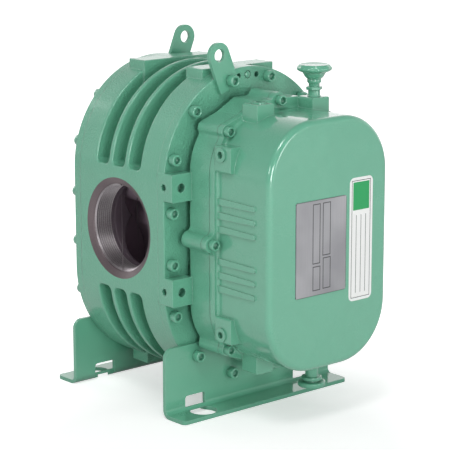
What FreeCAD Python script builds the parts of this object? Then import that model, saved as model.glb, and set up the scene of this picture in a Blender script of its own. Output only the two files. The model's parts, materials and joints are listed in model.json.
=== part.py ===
import FreeCAD, Part
import math
import os
import Sketcher

# Rotary lobe blower: two figure-of-eight rotors, one above the other, turn in
# a ribbed housing between two headplates. Timing gears run in the cover at
# the gear end, which faces -Y; the drive shaft leaves the other end.
# The frame: floor at Z = 0, X to the right seen from the gear end, Y towards
# the drive end, origin under the middle of the four foot holes.

# Driving dimensions, in millimetres and degrees
SIZES = [
    # the machine
    ("gear_centres", 127.0, "from one shaft to the other"),
    ("centre_height", 220.0, "floor to the middle of the ports"),
    ("rotor_length", 152.4, "length of both rotors"),
    ("rotor_end_gap", 0.35, "rotor end to headplate"),
    ("rotor_mesh_gap", 0.4, "rotor to rotor"),
    ("rotor_tip_gap", 0.35, "rotor tip to bore"),
    ("case_radius", 132.5, "outside of the housing round each shaft"),
    ("case_wall", 12.2, "bore to the floor of the outside pockets"),
    # the housing's outside
    ("pocket_width", 24.2, "one outside pocket, along the shafts"),
    ("pocket_pitch", 31.0, "pocket to pocket"),
    ("pocket_low", 77.0, "where the pockets end, from mid-height"),
    ("pocket_corner", 7.0, "round corners of a pocket's end"),
    ("pocket_rim", 1.8, "rounded rim of a pocket"),
    ("pocket_root", 5.5, "fillet round a pocket's floor"),
    ("pad_half_width", 57.0, "flat pads on top and below"),
    ("pad_drop", 0.5, "pad face below the crown of the housing"),
    ("pad_depth", 30.0, "pad along the shafts"),
    ("pad_setback", 6.0, "pad from the headplate joint"),
    # the ports
    ("port_face_radius", 62.6, "outer edge of the port's bevel"),
    ("port_bevel_depth", 4.0, "depth of the bevel"),
    ("port_thread_radius", 54.5, "threaded wall"),
    ("port_thread_length", 30.0, "threaded wall along the port"),
    ("port_bore_radius", 51.0, "passage behind the thread"),
    # the headplates and their screws
    ("head_thick", 12.0, "rim of each headplate"),
    ("head_edge", 1.2, "rounded edge of the rim"),
    ("bolt_circle", 122.5, "screws round each shaft, radius"),
    ("bolt_side_height", 31.5, "screws on the straight sides"),
    ("screw_radius", 4.76, "cap screw shank"),
    ("screw_gap", 0.35, "shank to its clearance hole"),
    ("screw_head_radius", 7.15, "cap screw head"),
    ("screw_head_height", 9.5, "cap screw head"),
    ("screw_socket_radius", 4.6, "hexagon socket across corners, half"),
    ("screw_socket_depth", 5.0, "hexagon socket"),
    ("screw_thread_depth", 16.0, "into the housing"),
    ("dowel_radius", 4.9, "dowel pins at top and bottom"),
    ("dowel_depth", 12.0, "dowel into the housing"),
    ("jack_hole_radius", 3.5, "jacking screw holes beside the dowel"),
    ("jack_hole_offset", 14.5, "jacking holes from the dowel"),
    ("side_boss_height", 34.0, "boss on the edge at each shaft"),
    ("side_boss_depth", 15.5, "boss outwards from the headplate"),
    ("side_boss_width", 30.5, "boss inwards from the edge"),
    ("side_boss_corner", 2.0, "rounded corners of the boss"),
    ("side_plug_radius", 6.6, "plug in the edge"),
    ("side_plug_depth", 8.0, "plug in the edge"),
    ("vent_radius", 5.5, "open vent in the boss"),
    ("vent_inset", 14.5, "vent from the edge"),
    ("vent_depth", 10.0, "open vent in the boss"),
    # the gearcase and its cover
    ("neck_depth", 12.0, "recess behind the gearcase flange"),
    ("neck_inset", 23.0, "neck inside the flange's outline"),
    ("gearcase_web", 8.0, "web behind the gears"),
    ("gearcase_depth", 35.0, "gearcase flange along the shafts"),
    ("gasket_thick", 0.8, "paper gaskets"),
    ("cover_flange", 8.4, "cover flange along the shafts"),
    ("cover_depth", 88.8, "cover in front of its flange"),
    ("cover_half_width", 96.0, "cover wall"),
    ("cover_half_height", 150.0, "cover wall"),
    ("cover_corner", 71.0, "round corners of the cover"),
    ("cover_edge", 7.0, "rounded front edge"),
    ("cover_shell", 7.0, "cover wall thickness"),
    ("past", 1.0, "cuts run past the surface they open"),
    ("flange_lip", 6.0, "flange outside the cover wall"),
    ("flange_root", 3.5, "fillet from the cover flange to the wall"),
    ("spot_face_gap", 0.6, "spot face round a cover screw's head"),
    ("lobe_radius", 10.0, "bolt lobes at the sides and ends of the flange"),
    ("lobe_corner_radius", 8.0, "bolt lobes at the corners of the flange"),
    ("lobe_blend", 6.0, "round between a lobe and the flange"),
    ("shoulder_half_width", 33.0, "flat top of the flange"),
    ("shoulder_knee_out", 59.0, "knee of the slope to a corner lobe, sideways"),
    ("shoulder_knee_up", 148.5, "knee of the slope to a corner lobe, up and down"),
    ("lobe_side", 105.5, "side lobes from the middle"),
    ("lobe_corner_width", 81.5, "corner lobes, sideways"),
    ("lobe_corner_height", 132.0, "corner lobes, up and down"),
    ("lobe_end", 161.0, "top and bottom lobes"),
    ("cover_head_radius", 6.25, "cover screw head"),
    ("cover_head_height", 8.0, "cover screw head"),
    ("cover_thread_depth", 20.0, "cover screw into the gearcase"),
    ("cover_boss_out", 101.0, "side boss face from the middle"),
    ("cover_boss_low", 87.0, "side boss, lower edge"),
    ("cover_boss_high", 118.0, "side boss, upper edge"),
    ("cover_boss_depth", 36.2, "side boss from the joint"),
    ("cover_plug_height", 108.0, "side plug from mid-height"),
    ("cover_plug_depth", 19.7, "side plug from the joint"),
    ("box_boss_middle", 44.5, "top and bottom bosses from the middle"),
    ("box_boss_half_width", 13.5, "top and bottom bosses"),
    ("box_boss_top", 163.0, "top and bottom bosses from mid-height"),
    ("box_boss_depth", 34.2, "top and bottom bosses from the joint"),
    ("box_plug_depth", 22.2, "their plugs from the joint"),
    ("boss_corner", 2.5, "rounded corners of the cover's bosses"),
    ("boss_depth_in_wall", 17.5, "cover bosses, from inside the wall"),
    ("plug_radius", 8.5, "pipe plug"),
    ("plug_proud", 2.0, "pipe plug out of its boss"),
    ("plug_seat", 11.0, "pipe plug into its boss"),
    ("plug_socket_radius", 4.6, "pipe plug socket across corners, half"),
    ("strip_proud", 1.8, "cast strips on the cover's sides"),
    ("strip_back_height", 8.4, "one cast strip, at the cover flange"),
    ("strip_front_height", 6.0, "one cast strip, at its front end"),
    ("strip_corner", 2.4, "rounded front end of a strip"),
    ("strip_pitch", 16.5, "strip to strip"),
    ("strip_upper", 34.5, "middle strip of the upper group"),
    ("strip_lower", -37.5, "middle strip of the lower group"),
    ("strip_length", 66.0, "strips from the cover flange"),
    # the feet
    ("foot_thick", 4.8, "bent plate of both feet"),
    ("foot_half_width", 136.0, "feet"),
    ("foot_top", 86.0, "top of the feet"),
    ("foot_reach", 40.0, "feet out from the headplates"),
    ("foot_bend", 6.0, "inside of the bend"),
    ("foot_corner", 12.0, "rounded corners"),
    ("foot_hole_radius", 17.0, "anchor holes"),
    ("foot_hole_out", 20.2, "anchor holes from the headplates"),
    ("foot_hole_side", 89.5, "anchor holes from the middle"),
    ("notch_width", 31.5, "notch over each anchor hole"),
    ("notch_height", 22.0, "notch over each anchor hole"),
    ("notch_corner", 4.0, "notch"),
    # the lifting lugs
    ("lug_lean", 22.0, "lugs from upright"),
    ("lug_half_width", 15.5, "lugs"),
    ("lug_hole_radius", 7.75, "lifting hole"),
    ("lug_length", 44.4, "lifting hole to the lower end"),
    ("lug_thick", 5.0, "lugs"),
    ("lug_screw_drop", 35.7, "lifting hole to the screw"),
    ("lug_screw_side", 4.24, "screw from the lug's middle"),
    # the breather and the drain
    ("breather_stem", 6.0, "neck of the breather, radius"),
    ("breather_body", 7.5, "lower body, radius"),
    ("breather_body_height", 8.0, "lower body"),
    ("breather_ring", 9.6, "lock ring, radius"),
    ("breather_ring_height", 4.0, "lock ring"),
    ("breather_neck_height", 9.6, "lock ring to the bowl"),
    ("breather_bowl", 13.8, "bowl under the cap, radius"),
    ("breather_bowl_height", 7.2, "bowl"),
    ("breather_cap", 21.3, "cap, radius"),
    ("breather_cap_top", 18.8, "flat of the cap, radius"),
    ("breather_cap_height", 10.0, "cap"),
    ("breather_collar", 8.4, "collar between lock ring and bowl, radius"),
    ("breather_cap_low", 4.0, "widest part of the cap starts"),
    ("breather_cap_high", 5.6, "widest part of the cap ends"),
    ("drain_neck", 8.0, "drain neck, radius"),
    ("drain_drop", 27.0, "boss to the upper flange"),
    ("drain_flange", 12.7, "upper flange, radius"),
    ("drain_nut", 17.2, "lower flange, radius"),
    ("drain_gap", 2.0, "upper to lower flange"),
    ("drain_nut_height", 6.0, "lower flange"),
    # the bearings, the same size at all four places
    ("bearing_outer", 40.0, "outside radius"),
    ("bearing_bore", 20.0, "bore radius"),
    ("bearing_width", 18.0, "width"),
    ("ring_wall", 6.5, "shoulder of either ring"),
    ("race_wall", 3.4, "ring under the rolling elements"),
    ("race_width", 13.0, "race along the shaft"),
    ("roll_gap", 0.3, "rolling element to race"),
    ("cage_wall", 2.4, "cage"),
    ("bearing_back", 2.0, "outwards from the headplate face"),
    # shaft passages
    ("shaft_radius", 22.0, "through the rotor"),
    ("shaft_gap", 1.0, "shaft to the headplate"),
    ("seal_outer", 31.0, "rotor-side seal, outside radius"),
    ("seal_depth", 8.0, "rotor-side seal"),
    ("seal_gap", 0.35, "seal lip to shaft"),
    # timing gears
    ("gear_teeth", 50, "on each timing gear"),
    ("pressure_angle", 20.0, "of the teeth"),
    ("tooth_thinning", 0.35, "off each tooth for backlash"),
    ("gear_bore", 18.0, "radius"),
    ("gear_face", 45.0, "along the shaft"),
    ("gear_hub", 28.0, "radius"),
    ("gear_standoff", 6.0, "bearing to the teeth"),
    ("gear_recess_inner", 30.0, "turned recess, radius"),
    ("gear_recess_outer", 52.0, "turned recess, radius"),
    ("gear_recess_depth", 9.0, "turned recess"),
    ("nut_radius", 25.0, "lock nut across corners, half"),
    ("nut_height", 14.0, "lock nut"),
    ("thread_end_radius", 15.0, "shaft thread under the nut"),
    ("thread_end_length", 24.0, "shaft thread"),
    ("slinger_radius", 74.0, "oil slinger"),
    ("slinger_thick", 3.0, "oil slinger"),
    # the drive end
    ("drive_boss_radius", 58.0, "bearing boss at the drive end"),
    ("drive_boss_depth", 22.0, "bearing boss outwards"),
    ("drive_cover_thick", 10.0, "bearing cover"),
    ("spigot_wall", 5.0, "register inside the cover"),
    ("spigot_gap", 0.07, "register to the headplate's bore"),
    ("drive_land_end", 2.0, "seal land out of the bearing cover"),
    ("drive_screw_circle", 49.0, "cover screws round each shaft"),
    ("drive_screw_radius", 3.2, "cover screws"),
    ("drive_head_radius", 5.0, "cover screw heads"),
    ("drive_head_height", 6.4, "cover screw heads"),
    ("drive_socket_radius", 2.9, "hexagon socket across corners, half"),
    ("drive_thread_depth", 12.0, "cover screws into the boss"),
    ("drive_seal_outer", 24.0, "drive shaft seal, radius"),
    ("drive_seal_depth", 8.0, "drive shaft seal"),
    ("drive_land_radius", 16.5, "shaft under the seal"),
    ("drive_stub_radius", 14.2875, "bare drive shaft"),
    ("drive_stub_length", 76.0, "bare drive shaft"),
    ("key_width", 6.35, "keyway for a square key"),
    ("key_length", 54.0, "keyway"),
    ("key_inset", 8.0, "keyway from the shaft's end"),
    # plate on the cover
    ("plate_left", -54.6, "nameplate edge"),
    ("plate_right", 26.5, "nameplate edge"),
    ("plate_bottom", -58.0, "nameplate edge, from mid-height"),
    ("plate_top", 56.0, "nameplate edge, from mid-height"),
    ("plate_thick", 0.8, "nameplate"),
    ("plate_corner", 2.4, "nameplate"),
]

DRIVE_SHAFT_SIDE = 1
BALLS = 9
ROLLERS = 11
PROFILE_POINTS = 18
SHARP_ANGLE = 15

doc = FreeCAD.newDocument("RotaryLobeBlower")
sheet = doc.addObject("Spreadsheet::Sheet", "Sizes")
for row, (alias, value, meaning) in enumerate(SIZES, start=1):
    sheet.set(f"A{row}", alias)
    sheet.set(f"B{row}", str(value))
    sheet.set(f"C{row}", meaning)
    sheet.setAlias(f"B{row}", alias)
doc.recompute()

pieces = {}


class Size:
    """A number together with the sheet expression that gives it."""

    def __init__(self, number, text):
        self.number = float(number)
        self.text = text

    def __add__(self, other):
        return Size(self.number + number(other), f"({self.text} + {text(other)})")

    def __radd__(self, other):
        return Size(number(other) + self.number, f"({text(other)} + {self.text})")

    def __sub__(self, other):
        return Size(self.number - number(other), f"({self.text} - {text(other)})")

    def __rsub__(self, other):
        return Size(number(other) - self.number, f"({text(other)} - {self.text})")

    def __mul__(self, other):
        return Size(self.number * number(other), f"({self.text} * {text(other)})")

    def __rmul__(self, other):
        return Size(number(other) * self.number, f"({text(other)} * {self.text})")

    def __truediv__(self, other):
        return Size(self.number / number(other), f"({self.text} / {text(other)})")

    def __neg__(self):
        return Size(-self.number, f"(-1 * {self.text})")


def number(value):
    """The plain number of a Size or of a number."""
    return value.number if isinstance(value, Size) else float(value)


def text(value):
    """The expression of a Size or of a number."""
    return value.text if isinstance(value, Size) else repr(float(value))


def size(alias):
    """One driving dimension from the sheet."""
    return Size(sheet.get(alias), f"Sizes.{alias}")


def root(value):
    """The square root of a Size."""
    return Size(math.sqrt(value.number), f"sqrt({value.text})")


def cosine(angle):
    """The cosine of an angle in degrees."""
    return Size(math.cos(math.radians(number(angle))), f"cos({text(angle)})")


def sine(angle):
    """The sine of an angle in degrees."""
    return Size(math.sin(math.radians(number(angle))), f"sin({text(angle)})")


def arc_of(function, value):
    """An inverse function of a Size, such as acos or atan, in degrees."""
    degrees = math.degrees(getattr(math, function)(value.number))
    return Size(degrees, f"{function}({value.text})")


# Lengths worked out from the driving dimensions
half_centres = size("gear_centres") / 2
half_case = size("rotor_length") / 2 + size("rotor_end_gap")
head_face = half_case + size("head_thick")
profile_offset = size("rotor_mesh_gap") / 2
tip_radius = half_centres * 1.5 - profile_offset
bore_radius = tip_radius + size("rotor_tip_gap")
pocket_floor = bore_radius + size("case_wall")
gearcase_front = size("neck_depth") + size("gearcase_depth")
cover_back = gearcase_front + size("gasket_thick")
cover_flange_front = cover_back + size("cover_flange")
cover_front = cover_flange_front + size("cover_depth")
flange_half_width = size("cover_half_width") + size("flange_lip")
flange_half_height = size("cover_half_height") + size("flange_lip")
flange_corner = size("cover_corner") + size("flange_lip")
screw_hole = size("screw_radius") + size("screw_gap")
bearing_front = size("bearing_back") + size("bearing_width")
seal_back = size("bearing_back") - size("seal_depth")
drive_cover_back = size("drive_boss_depth")
drive_cover_front = drive_cover_back + size("drive_cover_thick")
gear_back = bearing_front + size("gear_standoff")
gear_front = gear_back + size("gear_face")
pitch_of_rolls = (size("bearing_outer") + size("bearing_bore")) / 2
SHAFT_SIDES = {"drive": DRIVE_SHAFT_SIDE, "driven": -DRIVE_SHAFT_SIDE}

TURN_Z = FreeCAD.Vector(0, 0, 1)
TURN_X = FreeCAD.Vector(1, 0, 0)
TURN_Y = FreeCAD.Vector(0, 1, 0)


def place(piece, x=0, y=0, z=0, axis=TURN_Z, angle=0):
    """Give a piece its bound Placement."""
    piece.Placement = FreeCAD.Placement(FreeCAD.Vector(), FreeCAD.Rotation(axis, number(angle)))
    for name, value in (("x", x), ("y", y), ("z", z)):
        piece.setExpression(f"Placement.Base.{name}", text(value))


def new_body(label):
    """An empty body that becomes one sub-part."""
    body = doc.addObject("PartDesign::Body", label)
    body.Label = label
    body.AllowCompound = True
    pieces[label] = body
    return body


def end_body(label, end, face=head_face, z=size("centre_height")):
    """A body drawn as seen from outside one end: x right, y up, pads come outwards."""
    body = new_body(label)
    if end == "gear":
        place(body, 0, -face, z)
    else:
        place(body, 0, face, z, TURN_Z, 180)
    return body


def origin_part(body, role):
    """An origin plane or axis of a body."""
    return [part for part in body.Origin.OriginFeatures if part.Role == role][0]


def sketch(body, role="XZ_Plane", offset=0, slide=0):
    """A sketch on one of the body's own origin planes."""
    drawing = body.newObject("Sketcher::SketchObject", "Sketch")
    drawing.AttachmentSupport = [(origin_part(body, role), "")]
    drawing.MapMode = "FlatFace"
    drawing.setExpression("AttachmentOffset.Base.z", text(offset))
    drawing.setExpression("AttachmentOffset.Base.y", text(slide))
    return drawing


def hold(drawing, geometry, point, x, y):
    """Tie one point of a sketch to bound distances from its origin."""
    for kind, value, axis in (("DistanceX", x, -2), ("DistanceY", y, -1)):
        if not isinstance(value, Size) and value == 0:
            drawing.addConstraint(Sketcher.Constraint("PointOnObject", geometry, point, axis))
            continue
        index = drawing.addConstraint(
            Sketcher.Constraint(kind, -1, 1, geometry, point, number(value)))
        drawing.setExpression(f"Constraints[{index}]", text(value))


def circle(drawing, radius, x=0, y=0):
    """A bound circle."""
    centre = FreeCAD.Vector(number(x), number(y), 0)
    index = drawing.addGeometry(Part.Circle(centre, TURN_Z, number(radius)))
    hold(drawing, index, 3, x, y)
    tie = drawing.addConstraint(Sketcher.Constraint("Radius", index, number(radius)))
    drawing.setExpression(f"Constraints[{tie}]", text(radius))
    return index


def hexagon(drawing, radius, x=0, y=0):
    """A bound regular hexagon inside a construction circle, one corner to the right."""
    guide = circle(drawing, radius, x, y)
    drawing.setConstruction(guide, True)
    corners = [
        FreeCAD.Vector(
            number(x) + number(radius) * math.cos(math.radians(60 * step)),
            number(y) + number(radius) * math.sin(math.radians(60 * step)),
            0,
        )
        for step in range(6)
    ]
    sides = [
        drawing.addGeometry(Part.LineSegment(corners[step], corners[(step + 1) % 6]))
        for step in range(6)
    ]
    for step, side in enumerate(sides):
        drawing.addConstraint(Sketcher.Constraint("Coincident", side, 2, sides[(step + 1) % 6], 1))
        drawing.addConstraint(Sketcher.Constraint("PointOnObject", side, 1, guide))
        if step:
            drawing.addConstraint(Sketcher.Constraint("Equal", sides[0], side))
    drawing.addConstraint(Sketcher.Constraint("Horizontal", guide, 3, sides[0], 1))


def slot(drawing, radius, half_span):
    """An upright slot: half circles above and below, straight sides."""
    wide, tall = number(radius), number(half_span)
    top = drawing.addGeometry(
        Part.ArcOfCircle(Part.Circle(FreeCAD.Vector(0, tall, 0), TURN_Z, wide), 0, math.pi))
    bottom = drawing.addGeometry(
        Part.ArcOfCircle(Part.Circle(FreeCAD.Vector(0, -tall, 0), TURN_Z, wide), math.pi, 2 * math.pi))
    left = drawing.addGeometry(
        Part.LineSegment(FreeCAD.Vector(-wide, tall, 0), FreeCAD.Vector(-wide, -tall, 0)))
    right = drawing.addGeometry(
        Part.LineSegment(FreeCAD.Vector(wide, -tall, 0), FreeCAD.Vector(wide, tall, 0)))
    hold(drawing, top, 3, 0, half_span)
    hold(drawing, bottom, 3, 0, -half_span)
    for end, start in (((top, 2), (left, 1)), ((left, 2), (bottom, 1)),
                       ((bottom, 2), (right, 1)), ((right, 2), (top, 1))):
        drawing.addConstraint(Sketcher.Constraint("Tangent", *end, *start))
    tie = drawing.addConstraint(Sketcher.Constraint("Radius", top, wide))
    drawing.setExpression(f"Constraints[{tie}]", text(radius))


def outline(drawing, corners):
    """A closed outline of straight sides; a corner's third value rounds it."""
    corners = [(*corner, 0)[:3] for corner in corners]
    spots = [FreeCAD.Vector(number(x), number(y), 0) for x, y, _ in corners]
    count = len(spots)
    turns = []
    for index, (x, y, radius) in enumerate(corners):
        before = (spots[index - 1] - spots[index]).normalize()
        after = (spots[(index + 1) % count] - spots[index]).normalize()
        reach = 0
        if number(radius) > 0:
            half_angle = before.getAngle(after) / 2
            reach = number(radius) / math.tan(half_angle)
        turns.append((spots[index] + before * reach, spots[index] + after * reach, before, after))
    sides = [
        drawing.addGeometry(Part.LineSegment(turns[index][1], turns[(index + 1) % count][0]))
        for index in range(count)
    ]
    for index, (x, y, radius) in enumerate(corners):
        entering, leaving = sides[index - 1], sides[index]
        start, end, before, after = turns[index]
        if number(radius) == 0:
            drawing.addConstraint(Sketcher.Constraint("Coincident", entering, 2, leaving, 1))
            hold(drawing, leaving, 1, x, y)
            continue
        middle = (before + after).normalize()
        half_angle = before.getAngle(after) / 2
        centre = spots[index] + middle * (number(radius) / math.sin(half_angle))
        first, last = start, end
        ends = (1, 2)
        if before.cross(after).z > 0:
            first, last = end, start
            ends = (2, 1)
        first_angle = math.atan2(first.y - centre.y, first.x - centre.x)
        last_angle = math.atan2(last.y - centre.y, last.x - centre.x)
        if last_angle < first_angle:
            last_angle += 2 * math.pi
        arc = drawing.addGeometry(
            Part.ArcOfCircle(Part.Circle(centre, TURN_Z, number(radius)), first_angle, last_angle))
        drawing.addConstraint(Sketcher.Constraint("Tangent", entering, 2, arc, ends[0]))
        drawing.addConstraint(Sketcher.Constraint("Tangent", arc, ends[1], leaving, 1))
        tie = drawing.addConstraint(Sketcher.Constraint("Radius", arc, number(radius)))
        drawing.setExpression(f"Constraints[{tie}]", text(radius))
        mark = drawing.addGeometry(Part.Point(spots[index]), True)
        hold(drawing, mark, 1, x, y)
        drawing.addConstraint(Sketcher.Constraint("PointOnObject", mark, 1, entering))
        drawing.addConstraint(Sketcher.Constraint("PointOnObject", mark, 1, leaving))


def rectangle(drawing, left, bottom, right, top, radius=0):
    """A bound rectangle, with round corners where a radius is given."""
    outline(drawing, [(left, bottom, radius), (right, bottom, radius),
                      (right, top, radius), (left, top, radius)])


def pad(body, drawing, length, backwards=False):
    """Add material outwards from a sketch, or the other way."""
    feature = body.newObject("PartDesign::Pad", "Pad")
    feature.Profile = drawing
    feature.setExpression("Length", text(length))
    feature.Reversed = backwards
    return feature


def cut(body, drawing, length, backwards=False):
    """Take material away outwards from a sketch, or the other way."""
    feature = body.newObject("PartDesign::Pocket", "Pocket")
    feature.Profile = drawing
    feature.setExpression("Length", text(length))
    feature.Reversed = not backwards
    return feature


def spin(body, drawing, kind="PartDesign::Revolution", axis="V_Axis", angle=360):
    """Turn a sketch about one of its own axes, adding or removing material."""
    feature = body.newObject(kind, "Turned")
    feature.Profile = drawing
    feature.ReferenceAxis = (drawing, [axis])
    feature.Midplane = True
    feature.setExpression("Angle", text(angle))
    return feature


def mirror(body, features, role):
    """Repeat features on the other side of one of the body's origin planes."""
    feature = body.newObject("PartDesign::Mirrored", "Mirrored")
    feature.Originals = features
    feature.MirrorPlane = (origin_part(body, role), [""])
    body.Tip = feature
    return feature


def ring_of(body, feature, count):
    """Repeat a feature round the body's Y axis."""
    pattern = body.newObject("PartDesign::PolarPattern", "Pattern")
    pattern.Originals = [feature]
    pattern.Axis = (origin_part(body, "Y_Axis"), [""])
    pattern.Angle = 360
    pattern.Occurrences = count
    body.Tip = pattern
    return pattern


def circles(body, radius, spots, offset=0):
    """A sketch of equal circles."""
    drawing = sketch(body, offset=offset)
    for x, y in spots:
        circle(drawing, radius, x, y)
    return drawing


def round_edges(body, feature, radius, wanted):
    """Fillet the edges of a feature that a test picks."""
    doc.recompute()
    names = [
        f"Edge{index}"
        for index, edge in enumerate(feature.Shape.Edges, start=1)
        if wanted(edge)
    ]
    fillet = body.newObject("PartDesign::Fillet", "Fillet")
    fillet.Base = (feature, names)
    fillet.setExpression("Radius", text(radius))
    return fillet


def along_y(edge):
    """True for a straight edge that runs along Y."""
    start, end = edge.Vertexes[0].Point, edge.Vertexes[-1].Point
    return edge.Curve.TypeId == "Part::GeomLine" and start.sub(end).cross(TURN_Y).Length < 1e-6


def is_sharp(shape, edge):
    """True where the two faces beside an edge meet at a clear angle."""
    middle = edge.valueAt((edge.FirstParameter + edge.LastParameter) / 2)
    normals = []
    for face in shape.ancestorsOfType(edge, Part.Face):
        across, along = face.Surface.parameter(middle)
        normals.append(face.normalAt(across, along))
    return len(normals) == 2 and normals[0].getAngle(normals[1]) > math.radians(SHARP_ANGLE)


def at_depth(edge, depth):
    """True for an edge that lies in the plane at a depth in front of the body's origin."""
    return all(abs(vertex.Y + number(depth)) < 1e-4 for vertex in edge.Vertexes)


def reaches(edge, offset, depth):
    """True for an edge that runs from one depth to another."""
    near, far = sorted(-vertex.Y for vertex in edge.Vertexes)
    return abs(near - number(offset)) < 1e-4 and abs(far - number(offset + depth)) < 1e-4


def shaft_spots():
    """The two shaft centres."""
    return [(0, half_centres), (0, -half_centres)]


def bolt_spots():
    """The sixteen headplate screws, upper half and lower half."""
    radius = size("bolt_circle")
    spots = []
    for side in (1, -1):
        for angle in (15, 45, 75, 105, 135, 165):
            spots.append((radius * cosine(angle), side * (half_centres + radius * sine(angle))))
        for edge in (1, -1):
            spots.append((edge * radius, side * size("bolt_side_height")))
    return spots


def foot_bolt_spots():
    """The four headplate screws that also hold a foot."""
    radius = size("bolt_circle")
    return [(radius * cosine(angle), -(half_centres + radius * sine(angle)))
            for angle in (45, 75, 105, 135)]


def lug_bolt_spot():
    """The headplate screw that also holds a lifting lug."""
    radius = size("bolt_circle")
    return radius * cosine(105), half_centres + radius * sine(105)


def plain_bolt_spots():
    """The headplate screws that hold nothing else."""
    lug_x, lug_z = lug_bolt_spot()
    kept = []
    for x, z in bolt_spots():
        under_lug = abs(x.number - lug_x.number) < 1 and abs(z.number - lug_z.number) < 1
        in_foot = any(abs(x.number - fx.number) < 1 and abs(z.number - fz.number) < 1
                      for fx, fz in foot_bolt_spots())
        if not under_lug and not in_foot:
            kept.append((x, z))
    return kept


def dowel_spots():
    """The dowel pins above and below the shafts."""
    rise = half_centres + size("bolt_circle")
    return [(0, rise), (0, -rise)]


def cover_bolt_spots():
    """The eight lobes of the gearcase flange."""
    spots = [(side * size("lobe_side"), 0) for side in (1, -1)]
    spots += [(side * size("lobe_corner_width"), end * size("lobe_corner_height"))
              for side in (1, -1) for end in (1, -1)]
    spots += [(0, end * size("lobe_end")) for end in (1, -1)]
    return spots


def drive_bolt_spots():
    """The six screws of the bearing cover."""
    radius = size("drive_screw_circle")
    return [(radius * cosine(angle), side * (half_centres + radius * sine(angle)))
            for side in (1, -1) for angle in (15, 90, 165)]


def cover_outline(body, offset, inset):
    """The round-cornered outline that cover, flange, gasket and neck share."""
    drawing = sketch(body, offset=offset)
    wide = flange_half_width - inset
    tall = flange_half_height - inset
    rectangle(drawing, -wide, -tall, wide, tall, flange_corner - inset)
    return drawing


def shoulder_corners(end):
    """Flat top or bottom of the flange, and its slopes down to the corner lobes."""
    knee_x, knee_z = size("shoulder_knee_out"), size("shoulder_knee_up")
    lobe_x, lobe_z = size("lobe_corner_width"), size("lobe_corner_height")
    radius = size("lobe_corner_radius")
    across, down = lobe_x - knee_x, knee_z - lobe_z
    reach = root(across * across + down * down)
    tangent = arc_of("acos", -radius / reach) - arc_of("atan", down / across)
    half = [
        (size("shoulder_half_width"), size("box_boss_top")),
        (knee_x, knee_z),
        (lobe_x + radius * cosine(tangent), lobe_z + radius * sine(tangent)),
        (lobe_x, lobe_z),
        (knee_x, size("cover_half_height") - size("cover_corner")),
    ]
    right = [(x, end * z) for x, z in half]
    left = [(-x, end * z) for x, z in half]
    return right + left[::-1]


def flange(body, offset, depth):
    """The gearcase flange: an even lip, bolt lobes, and shoulders above and below."""
    pad(body, cover_outline(body, offset, 0), depth)
    lobes = sketch(body, offset=offset)
    for x, z in cover_bolt_spots():
        corner = number(x) != 0 and number(z) != 0
        circle(lobes, size("lobe_corner_radius") if corner else size("lobe_radius"), x, z)
    pad(body, lobes, depth)
    shoulders = sketch(body, offset=offset)
    for end in (1, -1):
        outline(shoulders, shoulder_corners(end))
    whole = pad(body, shoulders, depth)
    doc.recompute()
    return round_edges(
        body, whole, size("lobe_blend"),
        lambda edge: along_y(edge) and reaches(edge, offset, depth) and is_sharp(whole.Shape, edge))


def rotor_housing():
    """Cylinder: a slot-shaped casting with two crossing bores, outside pockets and ports."""
    body = end_body("rotor_housing", "gear", face=Size(0, "0"))
    length = half_case * 2
    blank = sketch(body, offset=-half_case)
    slot(blank, size("case_radius"), half_centres)
    pad(body, blank, length)
    for spot in shaft_spots():
        cut(body, circles(body, bore_radius, [spot], -half_case), length)
    half_width = size("pocket_width") / 2
    section = sketch(body, "YZ_Plane", slide=half_centres)
    for step in (-1, 0, 1):
        middle = step * size("pocket_pitch")
        rectangle(section, middle - half_width, pocket_floor,
                  middle + half_width, size("case_radius") + size("past"))
    lean = arc_of("acos", (size("pocket_low") - half_centres) / size("case_radius"))
    groove = spin(body, section, "PartDesign::Groove", "H_Axis", lean * 2)
    pockets = mirror(body, [groove], "XY_Plane")
    rim, floor = number(size("case_radius")), number(pocket_floor)

    def heights(edge):
        """How far a pocket edge's two ends lie from the shaft, nothing for other edges."""
        if any(abs(vertex.Y) > number(half_case - size("past")) for vertex in edge.Vertexes):
            return []
        return sorted(math.hypot(vertex.X, abs(vertex.Z) - number(half_centres))
                      for vertex in edge.Vertexes)

    def between(edge, low, high):
        ends = heights(edge)
        return bool(ends) and abs(ends[0] - low) < 1e-3 and abs(ends[-1] - high) < 1e-3

    corners = round_edges(body, pockets, size("pocket_corner"), lambda edge: between(edge, floor, rim))
    floors = round_edges(body, corners, size("pocket_root"), lambda edge: between(edge, floor, floor))
    round_edges(body, floors, size("pocket_rim"), lambda edge: between(edge, rim, rim))
    top = half_centres + size("case_radius") - size("pad_drop")
    pad_start = half_case - size("pad_setback") - size("pad_depth")
    blocks = sketch(body, offset=pad_start)
    wide = size("pad_half_width")
    for side in (1, -1):
        low = side * (half_centres + bore_radius)
        outline(blocks, [(-wide, low), (wide, low), (wide, side * top), (-wide, side * top)])
    mirror(body, [pad(body, blocks, size("pad_depth"))], "XZ_Plane")
    thread_end = size("case_radius") - size("port_bevel_depth")
    thread_start = thread_end - size("port_thread_length")
    port = sketch(body)
    outline(port, [
        (half_centres, 0),
        (half_centres, size("port_bore_radius")),
        (thread_start, size("port_bore_radius")),
        (thread_start, size("port_thread_radius")),
        (thread_end, size("port_thread_radius")),
        (size("case_radius"), size("port_face_radius")),
        (size("case_radius") + size("past"), size("port_face_radius")),
        (size("case_radius") + size("past"), 0),
    ])
    mirror(body, [spin(body, port, "PartDesign::Groove", "H_Axis")], "YZ_Plane")
    threads = cut(body, circles(body, size("screw_radius"), bolt_spots(), half_case),
                  size("screw_thread_depth"), backwards=True)
    dowels = cut(body, circles(body, size("dowel_radius"), dowel_spots(), half_case),
                 size("dowel_depth"), backwards=True)
    mirror(body, [threads, dowels], "XZ_Plane")


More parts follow.
